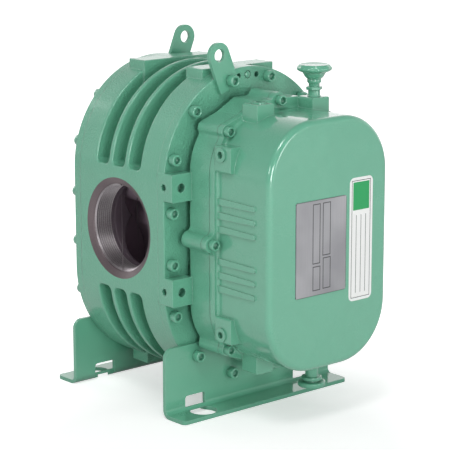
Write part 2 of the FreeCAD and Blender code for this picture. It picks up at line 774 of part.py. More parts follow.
def headplate_blank(label, end):
    """What both headplates share: the slot-shaped rim with its rounded edge."""
    body = end_body(label, end)
    blank = sketch(body, offset=-size("head_thick"))
    slot(blank, size("case_radius"), half_centres)
    rim = pad(body, blank, size("head_thick"))
    round_edges(body, rim, size("head_edge"), lambda edge: at_depth(edge, 0))
    return body


def headplate_holes(body):
    """Screw, dowel and jacking holes, and the two shaft passages."""
    inner_face = -size("head_thick")
    cut(body, circles(body, screw_hole, bolt_spots(), inner_face), size("head_thick"))
    cut(body, circles(body, size("dowel_radius"), dowel_spots(), inner_face), size("head_thick"))
    jack_rise = half_centres + root(size("bolt_circle") * size("bolt_circle")
                                    - size("jack_hole_offset") * size("jack_hole_offset"))
    jacks = [(side * size("jack_hole_offset"), jack_rise) for side in (1, -1)]
    cut(body, circles(body, size("jack_hole_radius"), jacks, inner_face), size("head_thick"))
    cut(body, circles(body, size("shaft_radius") + size("shaft_gap"), shaft_spots(), inner_face),
        size("head_thick"))
    cut(body, circles(body, size("seal_outer"), shaft_spots(), seal_back), size("seal_depth"))


def vent_bosses(body):
    """Four bosses on the rim's sides, one at each end of each shaft's height."""
    edge = size("case_radius")
    inner_face = -size("head_thick")
    half_boss = size("side_boss_height") / 2
    corner = size("side_boss_corner")
    bosses = sketch(body, offset=inner_face)
    for side in (1, -1):
        inner = side * (edge - size("side_boss_width"))
        for level in (half_centres, -half_centres):
            outline(bosses, [
                (inner, level - half_boss),
                (side * edge, level - half_boss, corner),
                (side * edge, level + half_boss, corner),
                (inner, level + half_boss),
            ])
    pad(body, bosses, size("head_thick") + size("side_boss_depth"))


def vent_holes(body):
    """Open vents in the bosses' faces and plugged holes in the headplate's edge."""
    edge = size("case_radius")
    vents = [(side * (edge - size("vent_inset")), level)
             for side in (1, -1) for level in (half_centres, -half_centres)]
    cut(body, circles(body, size("vent_radius"), vents, size("side_boss_depth")),
        size("vent_depth"), backwards=True)
    for side in (1, -1):
        plugs = sketch(body, "YZ_Plane", offset=side * (edge - size("side_plug_depth")))
        for level in (half_centres, -half_centres):
            circle(plugs, size("side_plug_radius"), 0, level)
        cut(body, plugs, size("side_plug_depth"), backwards=side < 0)


def gear_end_headplate():
    """Headplate that carries the gearcase on a narrower neck."""
    body = headplate_blank("gear_end_headplate", "gear")
    vent_bosses(body)
    pad(body, cover_outline(body, 0, size("neck_inset")), size("neck_depth"))
    flange(body, size("neck_depth"), size("gearcase_depth"))
    cavity = size("flange_lip") + size("cover_shell")
    web_front = size("neck_depth") + size("gearcase_web")
    cut(body, cover_outline(body, web_front, cavity), size("gearcase_depth") - size("gearcase_web"))
    headplate_holes(body)
    vent_holes(body)
    cut(body, circles(body, size("bearing_outer"), shaft_spots(), size("bearing_back")),
        size("bearing_width"))
    cut(body, circles(body, size("screw_radius"), cover_bolt_spots(), gearcase_front),
        size("cover_thread_depth"), backwards=True)


def drive_end_headplate():
    """Plain headplate with one slot-shaped bearing boss."""
    body = headplate_blank("drive_end_headplate", "drive")
    boss = sketch(body)
    slot(boss, size("drive_boss_radius"), half_centres)
    pad(body, boss, size("drive_boss_depth"))
    headplate_holes(body)
    cut(body, circles(body, size("bearing_outer"), shaft_spots(), size("bearing_back")),
        size("drive_boss_depth") - size("bearing_back"))
    cut(body, circles(body, size("drive_screw_radius"), drive_bolt_spots(), drive_cover_back),
        size("drive_thread_depth"), backwards=True)


def cover_gasket():
    """Paper gasket between gearcase and cover."""
    body = end_body("cover_gasket", "gear")
    flange(body, gearcase_front, size("gasket_thick"))
    cavity = size("flange_lip") + size("cover_shell")
    cut(body, cover_outline(body, gearcase_front, cavity), size("gasket_thick"))
    cut(body, circles(body, screw_hole, cover_bolt_spots(), gearcase_front), size("gasket_thick"))


def cover_bosses(body):
    """Plug bosses at the cover's sides, and box bosses on its top and bottom."""
    inner = size("cover_half_width") - size("boss_depth_in_wall")
    low = size("cover_half_height") - size("boss_depth_in_wall")
    half = size("box_boss_half_width")
    corner = size("boss_corner")
    sides = sketch(body, offset=cover_flange_front)
    boxes = sketch(body, offset=cover_flange_front)
    for side in (1, -1):
        middle = side * size("box_boss_middle")
        for end in (1, -1):
            outline(sides, [
                (side * inner, end * size("cover_boss_low")),
                (side * size("cover_boss_out"), end * size("cover_boss_low"), corner),
                (side * size("cover_boss_out"), end * size("cover_boss_high"), corner),
                (side * inner, end * size("cover_boss_high")),
            ])
            outline(boxes, [
                (middle - half, end * low),
                (middle - half, end * size("box_boss_top"), corner),
                (middle + half, end * size("box_boss_top"), corner),
                (middle + half, end * low),
            ])
    pad(body, sides, size("cover_boss_depth") - size("cover_flange"))
    pad(body, boxes, size("box_boss_depth") - size("cover_flange"))


def cover_strips(body):
    """Two groups of three cast strips along each side of the cover, slimmer in front."""
    back, front = size("strip_back_height") / 2, size("strip_front_height") / 2
    corner = size("strip_corner")
    near = -cover_flange_front
    far = near - size("strip_length")
    wall = size("cover_half_width") - size("strip_proud")
    for side in (1, -1):
        strips = sketch(body, "YZ_Plane", offset=side * wall)
        for group in (size("strip_upper"), size("strip_lower")):
            for step in (-1, 0, 1):
                height = group + step * size("strip_pitch")
                outline(strips, [(near, height - back), (near, height + back),
                                 (far, height + front, corner), (far, height - front, corner)])
        pad(body, strips, size("strip_proud") * 2, backwards=side < 0)


def gear_cover():
    """Deep round-cornered cover with plug bosses on its sides, top and bottom."""
    body = end_body("gear_cover", "gear")
    flange(body, cover_back, size("cover_flange"))
    wall = pad(body, cover_outline(body, cover_back, size("flange_lip")),
               size("cover_flange") + size("cover_depth"))
    front = round_edges(body, wall, size("cover_edge"), lambda edge: at_depth(edge, cover_front))
    corner = number(size("cover_corner"))
    wide, tall = number(size("cover_half_width")) - corner, number(size("cover_half_height")) - corner

    def at_wall(edge):
        return at_depth(edge, cover_flange_front) and all(
            abs(math.hypot(max(abs(vertex.X) - wide, 0), max(abs(vertex.Z) - tall, 0)) - corner) < 1e-3
            for vertex in edge.Vertexes)

    round_edges(body, front, size("flange_root"), at_wall)
    spot_face = size("cover_head_radius") + size("spot_face_gap")
    cut(body, circles(body, spot_face, cover_bolt_spots(), cover_flange_front),
        size("cover_head_height"))
    cover_bosses(body)
    cover_strips(body)
    cavity = size("flange_lip") + size("cover_shell")
    cut(body, cover_outline(body, cover_back, cavity),
        size("cover_flange") + size("cover_depth") - size("cover_shell"))
    cut(body, circles(body, screw_hole, cover_bolt_spots(), cover_back), size("cover_flange"))
    for side in (1, -1):
        face = sketch(body, "YZ_Plane", offset=side * (size("cover_boss_out") - size("plug_seat")))
        for end in (1, -1):
            circle(face, size("plug_radius"), -(cover_back + size("cover_plug_depth")),
                   end * size("cover_plug_height"))
        cut(body, face, size("plug_seat"), backwards=side < 0)
        lid = sketch(body, "XY_Plane", offset=side * (size("box_boss_top") - size("plug_seat")))
        for place_x in (size("box_boss_middle"), -size("box_boss_middle")):
            circle(lid, size("plug_radius"), place_x, -(cover_back + size("box_plug_depth")))
        cut(body, lid, size("plug_seat"), backwards=side < 0)


def foot(label, end):
    """Bent plate foot: an upright screwed to the headplate and a flange on the floor."""
    body = end_body(label, end, z=Size(0, "0"))
    wide, thick = size("foot_half_width"), size("foot_thick")
    upright = sketch(body)
    outline(upright, [(-wide, 0), (wide, 0), (wide, size("foot_top"), size("foot_corner")),
                      (-wide, size("foot_top"), size("foot_corner"))])
    pad(body, upright, thick)
    sole = sketch(body, "XY_Plane")
    outline(sole, [
        (-wide, 0),
        (-wide, -size("foot_reach"), size("foot_corner") / 2),
        (wide, -size("foot_reach"), size("foot_corner") / 2),
        (wide, 0),
    ])
    flat = pad(body, sole, thick)
    depth = number(thick)

    def inside(edge):
        return all(abs(v.Y + depth) < 1e-4 and abs(v.Z - depth) < 1e-4 for v in edge.Vertexes)

    def outside(edge):
        return all(abs(v.Y) < 1e-4 and abs(v.Z) < 1e-4 for v in edge.Vertexes)

    bend = round_edges(body, flat, size("foot_bend"), inside)
    round_edges(body, bend, size("foot_bend") + thick, outside)
    for side in (1, -1):
        notch = sketch(body)
        middle = side * size("foot_hole_side")
        half = size("notch_width") / 2
        outline(notch, [
            (middle - half, -size("past")),
            (middle + half, -size("past")),
            (middle + half, size("notch_height"), size("notch_corner")),
            (middle - half, size("notch_height"), size("notch_corner")),
        ])
        cut(body, notch, thick + size("screw_gap"))
    holes = sketch(body, "XY_Plane")
    for side in (1, -1):
        circle(holes, size("foot_hole_radius"), side * size("foot_hole_side"),
               -size("foot_hole_out"))
    cut(body, holes, thick)
    screws = [(x, z + size("centre_height")) for x, z in foot_bolt_spots()]
    cut(body, circles(body, screw_hole, screws), thick)


def lug(label, end):
    """Flat lifting lug that leans outwards from its screw."""
    body = new_body(label)
    lean = size("lug_lean")
    side = size("lug_screw_side")
    drop = size("lug_screw_drop")
    bolt_x, bolt_z = lug_bolt_spot()
    x = bolt_x - (side * cosine(lean) + drop * sine(lean))
    z = bolt_z - (side * sine(lean) - drop * cosine(lean)) + size("centre_height")
    if end == "gear":
        place(body, x, -head_face, z, TURN_Y, -lean)
    else:
        turn = FreeCAD.Rotation(TURN_Z, 180) * FreeCAD.Rotation(TURN_Y, -number(lean))
        place(body, -x, head_face, z, turn.Axis, math.degrees(turn.Angle))
    plate = sketch(body)
    wide = size("lug_half_width")
    rectangle(plate, -wide, -size("lug_length"), wide, 0)
    pad(body, plate, size("lug_thick"))
    pad(body, circles(body, wide, [(0, 0)]), size("lug_thick"))
    cut(body, circles(body, size("lug_hole_radius"), [(0, 0)]), size("lug_thick"))
    cut(body, circles(body, screw_hole, [(side, -drop)]), size("lug_thick"))


def cap_screws(label, end, spots, seat, shank_end, kind):
    """Socket head cap screws of one kind, heads on a seat and shanks to a depth."""
    shank, head, height, socket = kind
    body = end_body(label, end)
    pad(body, circles(body, shank, spots, shank_end), seat - shank_end)
    pad(body, circles(body, head, spots, seat), height)
    sockets = sketch(body, offset=seat + height - size("screw_socket_depth"))
    for x, z in spots:
        hexagon(sockets, socket, x, z)
    cut(body, sockets, size("screw_socket_depth"))


def all_screws():
    """Every set of cap screws."""
    kind = (size("screw_radius"), size("screw_head_radius"),
            size("screw_head_height"), size("screw_socket_radius"))
    tip = -(size("head_thick") + size("screw_thread_depth"))
    for end in ("gear", "drive"):
        cap_screws(f"{end}_end_headplate_screws", end, plain_bolt_spots(), Size(0, "0"), tip, kind)
        cap_screws(f"{end}_end_foot_screws", end, foot_bolt_spots(), size("foot_thick"), tip, kind)
        cap_screws(f"{end}_end_lug_screw", end, [lug_bolt_spot()], size("lug_thick"), tip, kind)
    cover_kind = (size("screw_radius"), size("cover_head_radius"),
                  size("cover_head_height"), size("screw_socket_radius"))
    cap_screws("cover_screws", "gear", cover_bolt_spots(), cover_flange_front,
               gearcase_front - size("cover_thread_depth"), cover_kind)
    drive_kind = (size("drive_screw_radius"), size("drive_head_radius"),
                  size("drive_head_height"), size("drive_socket_radius"))
    cap_screws("bearing_cover_screws", "drive", drive_bolt_spots(), drive_cover_front,
               drive_cover_back - size("drive_thread_depth"), drive_kind)


def dowel_pins(label, end):
    """Plain dowel pins, flush with the headplate."""
    body = end_body(label, end)
    depth = size("head_thick") + size("dowel_depth")
    pad(body, circles(body, size("dowel_radius"), dowel_spots(), -depth), depth)


def plug(label, spot, axis, angle, radius, proud, seat):
    """Pipe plug with a hexagon socket, its outer face proud of its boss."""
    body = new_body(label)
    place(body, *spot, axis, angle)
    pad(body, circles(body, radius, [(0, 0)], -seat), seat + proud)
    socket = sketch(body, offset=proud - size("screw_socket_depth"))
    hexagon(socket, size("plug_socket_radius"))
    cut(body, socket, size("screw_socket_depth"))


def all_plugs():
    """Plugs in the cover bosses and in the headplate edges."""
    middle = size("centre_height")
    proud, seat = size("plug_proud"), size("plug_seat")
    side_y = -(head_face + cover_back + size("cover_plug_depth"))
    box_y = -(head_face + cover_back + size("box_plug_depth"))
    for name, side in (("right", 1), ("left", -1)):
        for level, end in (("upper", 1), ("lower", -1)):
            spot = (side * size("cover_boss_out"), side_y,
                    middle + end * size("cover_plug_height"))
            plug(f"cover_{level}_{name}_plug", spot, TURN_Z, side * 90,
                 size("plug_radius"), proud, seat)
            spot = (side * size("case_radius"), -head_face, middle + end * half_centres)
            plug(f"gear_end_{level}_{name}_vent_plug", spot, TURN_Z, side * 90,
                 size("side_plug_radius"), 0, size("side_plug_depth"))
    for level, end in (("top", 1), ("bottom", -1)):
        spot = (-size("box_boss_middle"), box_y, middle + end * size("box_boss_top"))
        plug(f"cover_{level}_plug", spot, TURN_X, -90 * end, size("plug_radius"), proud, seat)


def turned(label, spot, corners, axis=TURN_Z, angle=0):
    """A piece turned about its own upright axis: x is the radius, y the height."""
    body = new_body(label)
    place(body, *spot, axis, angle)
    section = sketch(body)
    outline(section, corners)
    spin(body, section)
    return body


def breather():
    """Breather on the right top boss: stem with its bowl, lock ring and cap."""
    spot = (size("box_boss_middle"), -(head_face + cover_back + size("box_plug_depth")),
            size("centre_height") + size("box_boss_top"))
    stem, low = size("breather_stem"), size("breather_body")
    ring_base = size("breather_body_height")
    ring_top = ring_base + size("breather_ring_height")
    bowl_base = ring_top + size("breather_neck_height")
    bowl_top = bowl_base + size("breather_bowl_height")
    collar = size("breather_neck_height") / 2
    turned("breather_body", spot, [
        (0, -size("plug_seat")),
        (size("plug_radius"), -size("plug_seat")),
        (size("plug_radius"), 0),
        (low, 0),
        (low, ring_base),
        (stem, ring_base),
        (stem, ring_top + collar),
        (size("breather_collar"), ring_top + collar),
        (size("breather_collar"), bowl_base),
        (size("breather_ring"), bowl_base),
        (size("breather_bowl"), bowl_top),
        (0, bowl_top),
    ])
    turned("breather_lock_ring", spot, [
        (stem, ring_base),
        (size("breather_ring"), ring_base),
        (size("breather_ring"), ring_top),
        (stem, ring_top),
    ])
    cap, flat = size("breather_cap"), size("breather_cap_top")
    height = size("breather_cap_height")
    turned("breather_cap", spot, [
        (0, bowl_top),
        (size("breather_bowl"), bowl_top),
        (cap, bowl_top + size("breather_cap_low")),
        (cap, bowl_top + size("breather_cap_high")),
        (flat, bowl_top + height),
        (0, bowl_top + height),
    ])


def drain():
    """Drain fitting under the right bottom boss: neck, thin flange and nut."""
    spot = (size("box_boss_middle"), -(head_face + cover_back + size("box_plug_depth")),
            size("centre_height") - size("box_boss_top"))
    neck = size("drain_neck")
    flange_low = -(size("drain_drop") + size("breather_ring_height"))
    nut_top = flange_low - size("drain_gap")
    nut_low = nut_top - size("drain_nut_height")
    turned("drain_fitting", spot, [
        (0, size("plug_seat")),
        (size("plug_radius"), size("plug_seat")),
        (size("plug_radius"), 0),
        (neck, 0),
        (neck, -size("drain_drop")),
        (size("drain_flange"), -size("drain_drop")),
        (size("drain_flange"), flange_low),
        (neck, flange_low),
        (neck, nut_top),
        (size("drain_nut"), nut_top),
        (size("drain_nut"), nut_low),
        (0, nut_low),
    ])


def nameplate():
    """Bare data plate on the cover front."""
    body = end_body("nameplate", "gear")
    drawing = sketch(body, offset=cover_front)
    rectangle(drawing, size("plate_left"), size("plate_bottom"),
              size("plate_right"), size("plate_top"), size("plate_corner"))
    pad(body, drawing, size("plate_thick"))


def bearing_cover():
    """Bearing cover at the drive end: blind over one shaft, a seal round the other."""
    gasket = end_body("bearing_cover_gasket", "drive")
    drive = (0, DRIVE_SHAFT_SIDE * half_centres)
    register = size("bearing_outer") - size("spigot_gap")
    body = end_body("bearing_cover", "drive")
    joint = drive_cover_back
    paper = size("gasket_thick")
    sheet_drawing = sketch(gasket, offset=joint)
    slot(sheet_drawing, size("drive_boss_radius"), half_centres)
    pad(gasket, sheet_drawing, paper)
    cut(gasket, circles(gasket, size("bearing_outer"), shaft_spots(), joint), paper)
    cut(gasket, circles(gasket, size("drive_screw_radius") + size("screw_gap"),
                        drive_bolt_spots(), joint), paper)
    disc = sketch(body, offset=joint + paper)
    slot(disc, size("drive_boss_radius"), half_centres)
    pad(body, disc, size("drive_cover_thick") - paper)
    for spot in shaft_spots():
        ring = sketch(body, offset=bearing_front)
        circle(ring, register, *spot)
        circle(ring, register - size("spigot_wall"), *spot)
        pad(body, ring, joint + paper - bearing_front)
    land_hole = size("drive_land_radius") + size("shaft_gap")
    cut(body, circles(body, land_hole, [drive], joint + paper), size("drive_cover_thick") - paper)
    cut(body, circles(body, size("drive_seal_outer"), [drive],
                      drive_cover_front - size("drive_seal_depth")), size("drive_seal_depth"))
    cut(body, circles(body, size("drive_screw_radius") + size("screw_gap"),
                      drive_bolt_spots(), joint + paper), size("drive_cover_thick") - paper)
    seal = end_body("drive_shaft_seal", "drive")
    ring = sketch(seal, offset=drive_cover_front - size("drive_seal_depth"))
    circle(ring, size("drive_seal_outer"), *drive)
    circle(ring, size("drive_land_radius") + size("seal_gap"), *drive)
    pad(seal, ring, size("drive_seal_depth"))


def rotor_seals(end):
    """Seals between rotor chamber and bearings at one end."""
    body = end_body(f"{end}_end_rotor_seals", end)
    for spot in shaft_spots():
        ring = sketch(body, offset=seal_back)
        circle(ring, size("seal_outer"), *spot)
        circle(ring, size("shaft_radius") + size("seal_gap"), *spot)
        pad(body, ring, size("seal_depth"))


def ring_section(body, height, near, wall_sign, start):
    """Turn one bearing ring: its seat face and a shallow race towards the rolls."""
    shoulder = near + wall_sign * size("ring_wall")
    race = near + wall_sign * size("race_wall")
    end = start + size("bearing_width")
    lip = (size("bearing_width") - size("race_width")) / 2
    section = sketch(body, "XY_Plane", offset=height)
    outline(section, [
        (near, -start), (shoulder, -start), (shoulder, -(start + lip)), (race, -(start + lip)),
        (race, -(end - lip)), (shoulder, -(end - lip)), (shoulder, -end), (near, -end),
    ])
    spin(body, section)


def bearing_outer_rings(end):
    """Outer rings of both bearings at one end, in the headplate."""
    body = end_body(f"{end}_end_bearing_outer_rings", end)
    for x, height in shaft_spots():
        ring_section(body, height, size("bearing_outer"), -1, size("bearing_back"))


def shaft_body(label, shaft):
    """A body on one shaft's axis, with its origin at the middle of the housing."""
    body = new_body(label)
    side = SHAFT_SIDES[shaft]
    place(body, 0, 0, size("centre_height") + side * half_centres)
    return body


def bearing_inner_rings(shaft):
    """Both inner rings of one shaft."""
    body = shaft_body(f"{shaft}_shaft_inner_rings", shaft)
    ring_section(body, 0, size("bearing_bore"), 1, head_face + size("bearing_back"))
    ring_section(body, 0, size("bearing_bore"), 1, -(head_face + bearing_front))


def roll_radius():
    """Rolling elements fill the space between the races, less their gap."""
    room = size("bearing_outer") - size("bearing_bore") - size("race_wall") * 2
    return room / 2 - size("roll_gap")


def cage(body, start):
    """Cage that holds the rolling elements apart."""
    inset = (size("bearing_width") - size("race_width")) / 2 + size("roll_gap")
    ring = sketch(body, offset=start + inset)
    circle(ring, pitch_of_rolls + size("cage_wall") / 2)
    circle(ring, pitch_of_rolls - size("cage_wall") / 2)
    pad(body, ring, size("bearing_width") - inset * 2)


def rolling_sets(shaft):
    """Balls at the gear end and rollers at the drive end, each in its cage."""
    body = shaft_body(f"{shaft}_shaft_rolling_sets", shaft)
    start = head_face + size("bearing_back")
    cage(body, start)
    ball = body.newObject("PartDesign::AdditiveSphere", "Ball")
    ball.AttachmentSupport = [(origin_part(body, "XZ_Plane"), "")]
    ball.MapMode = "FlatFace"
    ball.setExpression("Radius", text(roll_radius()))
    ball.setExpression("AttachmentOffset.Base.x", text(pitch_of_rolls))
    ball.setExpression("AttachmentOffset.Base.z", text(start + size("bearing_width") / 2))
    ring_of(body, ball, BALLS)
    start = -(head_face + bearing_front)
    cage(body, start)
    length = size("race_width") - size("roll_gap") * 2
    drawing = sketch(body, offset=start + (size("bearing_width") - length) / 2)
    circle(drawing, roll_radius(), pitch_of_rolls)
    ring_of(body, pad(body, drawing, length), ROLLERS)


def rotor_arc(start, outward):
    """Offset cycloid points over a quarter turn: a lobe outside the pitch circle or a waist in it."""
    pitch = number(half_centres)
    rolling = pitch / 4
    offset = number(profile_offset)
    spots = []
    for step in range(PROFILE_POINTS + 1):
        angle = math.pi / 2 * step / PROFILE_POINTS
        sign = 1 if outward else -1
        arm = pitch + sign * rolling
        spin_ratio = arm / rolling
        x = arm * math.cos(angle) - sign * rolling * math.cos(spin_ratio * angle)
        y = arm * math.sin(angle) - rolling * math.sin(spin_ratio * angle)
        touch = FreeCAD.Vector(pitch * math.cos(angle), pitch * math.sin(angle), 0)
        point = FreeCAD.Vector(x, y, 0)
        if step in (0, PROFILE_POINTS):
            along = FreeCAD.Vector(-math.sin(angle), math.cos(angle), 0)
            towards_lobe = sign * (1 if step == 0 else -1)
            moved = touch + along * offset * towards_lobe
        else:
            normal = (point - touch).normalize() * sign
            moved = point - normal * offset
        turn = FreeCAD.Rotation(TURN_Z, start)
        spots.append(turn.multVec(moved))
    return spots


def rotor(shaft, lobe_angle):
    """Two-lobe rotor of cycloidal section, bored for its shaft."""
    body = shaft_body(f"{shaft}_rotor", shaft)
    half_length = size("rotor_length") / 2
    drawing = sketch(body, offset=-half_length)
    for quarter in range(4):
        curve = Part.BSplineCurve()
        curve.interpolate(rotor_arc(lobe_angle - 45 + 90 * quarter, quarter % 2 == 0))
        drawing.addGeometry(curve)
    pad(body, drawing, size("rotor_length"))
    cut(body, circles(body, size("shaft_radius"), [(0, 0)], -half_length), size("rotor_length"))


def stepped_shaft(body, steps):
    """Turn a stepped shaft from (start, end, radius) steps along -Y."""
    corners = [(0, -steps[0][0])]
    for start, end, radius in steps:
        corners += [(radius, -start), (radius, -end)]
    corners.append((0, -steps[-1][1]))
    section = sketch(body, "XY_Plane")
    outline(section, corners)
    spin(body, section)


def shaft_steps():
    """Steps that both shafts share, from the drive-end bearing to the gear thread."""
    bearing_end = head_face + bearing_front
    seal_end = head_face + size("bearing_back")
    gear_end = head_face + gear_front
    return [
        (-bearing_end, -seal_end, size("bearing_bore")),
        (-seal_end, seal_end, size("shaft_radius")),
        (seal_end, bearing_end, size("bearing_bore")),
        (bearing_end, gear_end, size("gear_bore")),
        (gear_end, gear_end + size("thread_end_length"), size("thread_end_radius")),
    ]


def drive_shaft():
    """Long shaft with an open keyway where it leaves the drive end."""
    body = shaft_body("drive_shaft", "drive")
    land_start = head_face + bearing_front
    stub_start = head_face + drive_cover_front + size("drive_land_end")
    tip = stub_start + size("drive_stub_length")
    stepped_shaft(body, [
        (-tip, -stub_start, size("drive_stub_radius")),
        (-stub_start, -land_start, size("drive_land_radius")),
    ] + shaft_steps())
    half_key = size("key_width") / 2
    key_start = tip - size("key_inset") - size("key_length")
    seat = size("drive_stub_radius") - half_key
    slot_cut = sketch(body, "XY_Plane", offset=seat)
    rectangle(slot_cut, -half_key, key_start, half_key, tip - size("key_inset"))
    cut(body, slot_cut, size("key_width"))


def driven_shaft():
    """Short shaft that ends inside the bearing cover."""
    stepped_shaft(shaft_body("driven_shaft", "driven"), shaft_steps())


def involute_half(radius, base, half_tooth):
    """Angle from a tooth's middle to its flank at a radius."""
    if radius <= base:
        return half_tooth
    pressure = math.acos(base / radius)
    return half_tooth - (math.tan(pressure) - pressure)


def timing_gear(shaft, first_tooth):
    """Spur timing gear with thinned involute teeth, hub and turned recesses."""
    body = shaft_body(f"{shaft}_timing_gear", shaft)
    teeth = int(number(size("gear_teeth")))
    pitch = number(half_centres)
    module = 2 * pitch / teeth
    tip, root_radius = pitch + module, pitch - 1.25 * module
    pressure = math.radians(number(size("pressure_angle")))
    base = pitch * math.cos(pressure)
    at_pitch = math.pi / 2 / teeth - number(size("tooth_thinning")) / 2 / pitch
    half_tooth = at_pitch + math.tan(pressure) - pressure
    start = head_face + gear_back
    disc = sketch(body, offset=start)
    circle(disc, half_centres + size("gear_centres") / size("gear_teeth"))
    pad(body, disc, size("gear_face"))
    flank = [root_radius, base, pitch, tip + module / 4]
    halves = [involute_half(radius, base, half_tooth) for radius in flank]
    middle = math.radians(first_tooth)
    step = 2 * math.pi / teeth
    left = [(radius, middle + half) for radius, half in zip(flank, halves)]
    right = [(radius, middle + step - half) for radius, half in zip(flank, halves)]
    gap = sketch(body, offset=start)
    ordered = left + right[::-1]
    corners = [(radius * math.cos(angle), radius * math.sin(angle)) for radius, angle in ordered]
    outline(gap, corners)
    ring_of(body, cut(body, gap, size("gear_face")), teeth)
    hub_start = head_face + bearing_front
    pad(body, circles(body, size("gear_hub"), [(0, 0)], hub_start), size("gear_standoff"))
    for recess_start in (start, start + size("gear_face") - size("gear_recess_depth")):
        recess = sketch(body, offset=recess_start)
        circle(recess, size("gear_recess_outer"))
        circle(recess, size("gear_recess_inner"))
        cut(body, recess, size("gear_recess_depth"))
    cut(body, circles(body, size("gear_bore"), [(0, 0)], hub_start),
        size("gear_standoff") + size("gear_face"))


def lock_nut(shaft, start):
    """Hexagon nut that holds a timing gear."""
    body = shaft_body(f"{shaft}_gear_nut", shaft)
    drawing = sketch(body, offset=start)
    hexagon(drawing, size("nut_radius"))
    pad(body, drawing, size("nut_height"))
    cut(body, circles(body, size("thread_end_radius"), [(0, 0)], start), size("nut_height"))


def gear_train():
    """Gears, nuts and the oil slinger on the lower gear."""
    upper_tooth = -90
    half_step = 180 / number(size("gear_teeth"))
    first = {1: upper_tooth, -1: 90 + half_step}
    face = head_face + gear_front
    for shaft, side in SHAFT_SIDES.items():
        timing_gear(shaft, first[side])
        lower = side < 0
        lock_nut(shaft, face + size("slinger_thick") if lower else face)
        if lower:
            body = shaft_body("oil_slinger", shaft)
            disc = sketch(body, offset=face)
            circle(disc, size("slinger_radius"))
            circle(disc, size("thread_end_radius"))
            pad(body, disc, size("slinger_thick"))


def build():
    """Make every sub-part."""
    rotor_housing()
    gear_end_headplate()
    drive_end_headplate()
    cover_gasket()
    gear_cover()
    foot("gear_end_foot", "gear")
    foot("drive_end_foot", "drive")
    lug("gear_end_lifting_lug", "gear")
    lug("drive_end_lifting_lug", "drive")
    all_screws()
    dowel_pins("gear_end_dowel_pins", "gear")
    dowel_pins("drive_end_dowel_pins", "drive")
    all_plugs()
    breather()
    drain()
    nameplate()
    bearing_cover()
    for end in ("gear", "drive"):
        rotor_seals(end)
        bearing_outer_rings(end)
    for shaft in SHAFT_SIDES:
        bearing_inner_rings(shaft)
        rolling_sets(shaft)
    rotor("drive", 0)
    rotor("driven", 90)
    drive_shaft()
    driven_shaft()
    gear_train()
    doc.recompute()


def check():
    """Stop if anything in the document failed."""
    for item in doc.Objects:
        if "Invalid" in item.State or "Error" in item.State:
            raise RuntimeError(f"{item.Label} in {item.getParentGeoFeatureGroup()} failed")
    for label, piece in pieces.items():
        if piece.Shape.isNull() or not piece.Shape.isValid():
            raise RuntimeError(f"{label} has no valid shape")


def export():
    """Write one STEP file for each sub-part."""
    os.makedirs("parts", exist_ok=True)
    for label, piece in pieces.items():
        piece.Shape.exportStep(f"parts/{label}.step")


build()
check()
export()
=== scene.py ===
import json
import math

import bpy
from mathutils import Matrix, Vector


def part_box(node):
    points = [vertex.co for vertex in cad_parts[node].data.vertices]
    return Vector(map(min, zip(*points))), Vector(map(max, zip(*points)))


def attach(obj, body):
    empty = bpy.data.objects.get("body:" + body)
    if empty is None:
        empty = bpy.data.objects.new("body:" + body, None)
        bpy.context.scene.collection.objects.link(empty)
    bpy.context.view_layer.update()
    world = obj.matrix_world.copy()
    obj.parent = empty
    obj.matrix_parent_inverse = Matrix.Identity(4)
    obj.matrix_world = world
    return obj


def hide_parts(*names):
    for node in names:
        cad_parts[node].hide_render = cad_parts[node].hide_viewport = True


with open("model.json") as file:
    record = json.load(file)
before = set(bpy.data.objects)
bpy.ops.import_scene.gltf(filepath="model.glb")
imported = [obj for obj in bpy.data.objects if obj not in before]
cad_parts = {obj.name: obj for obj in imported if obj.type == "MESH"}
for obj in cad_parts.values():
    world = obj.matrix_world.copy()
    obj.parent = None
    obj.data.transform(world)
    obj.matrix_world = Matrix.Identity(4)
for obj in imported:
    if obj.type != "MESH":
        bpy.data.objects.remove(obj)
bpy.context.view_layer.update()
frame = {"nodes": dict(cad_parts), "record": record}
nodes = frame["nodes"]
bpy.ops.object.select_all(action="DESELECT")

# Rotary lobe blower, seen from its gear end: metres, floor at z 0, gear end
# towards -y, inlet and outlet ports at -x and +x, drive shaft towards +y.

# Camera and studio
# A long lens looks at the gear end and the left port from a little above, as
# in a catalogue picture. The machine stands on a white floor. The main soft box
# is in front to the left, and weaker ones are above, at the sides and behind.
camera_place = (-1.4535, -1.7265, 0.6998)
camera_turn = math.radians(41.28)
camera_dip = math.radians(12.33)
camera_data = bpy.data.cameras.new("camera")
camera_data.lens = 145.5
camera_data.sensor_width = 36.0
camera_data.shift_x = -0.029
camera_data.shift_y = -0.003
camera = bpy.data.objects.new("camera", camera_data)
bpy.context.scene.collection.objects.link(camera)
camera.location = camera_place
camera.rotation_euler = (math.pi / 2 - camera_dip, 0, -camera_turn)
bpy.context.scene.camera = camera
bpy.context.scene.view_settings.view_transform = "Standard"

machine_middle = Vector((0, 0, 0.22))


def soft_box(name, place, width, height, power):
    """One rectangular studio lamp that looks at the machine, its power in watts."""
    lamp_data = bpy.data.lights.new(name, "AREA")
    lamp_data.shape = "RECTANGLE"
    lamp_data.size = width
    lamp_data.size_y = height
    lamp_data.energy = power
    lamp = bpy.data.objects.new(name, lamp_data)
    bpy.context.scene.collection.objects.link(lamp)
    lamp.location = place
    lamp.rotation_euler = (machine_middle - Vector(place)).to_track_quat("-Z", "Y").to_euler()


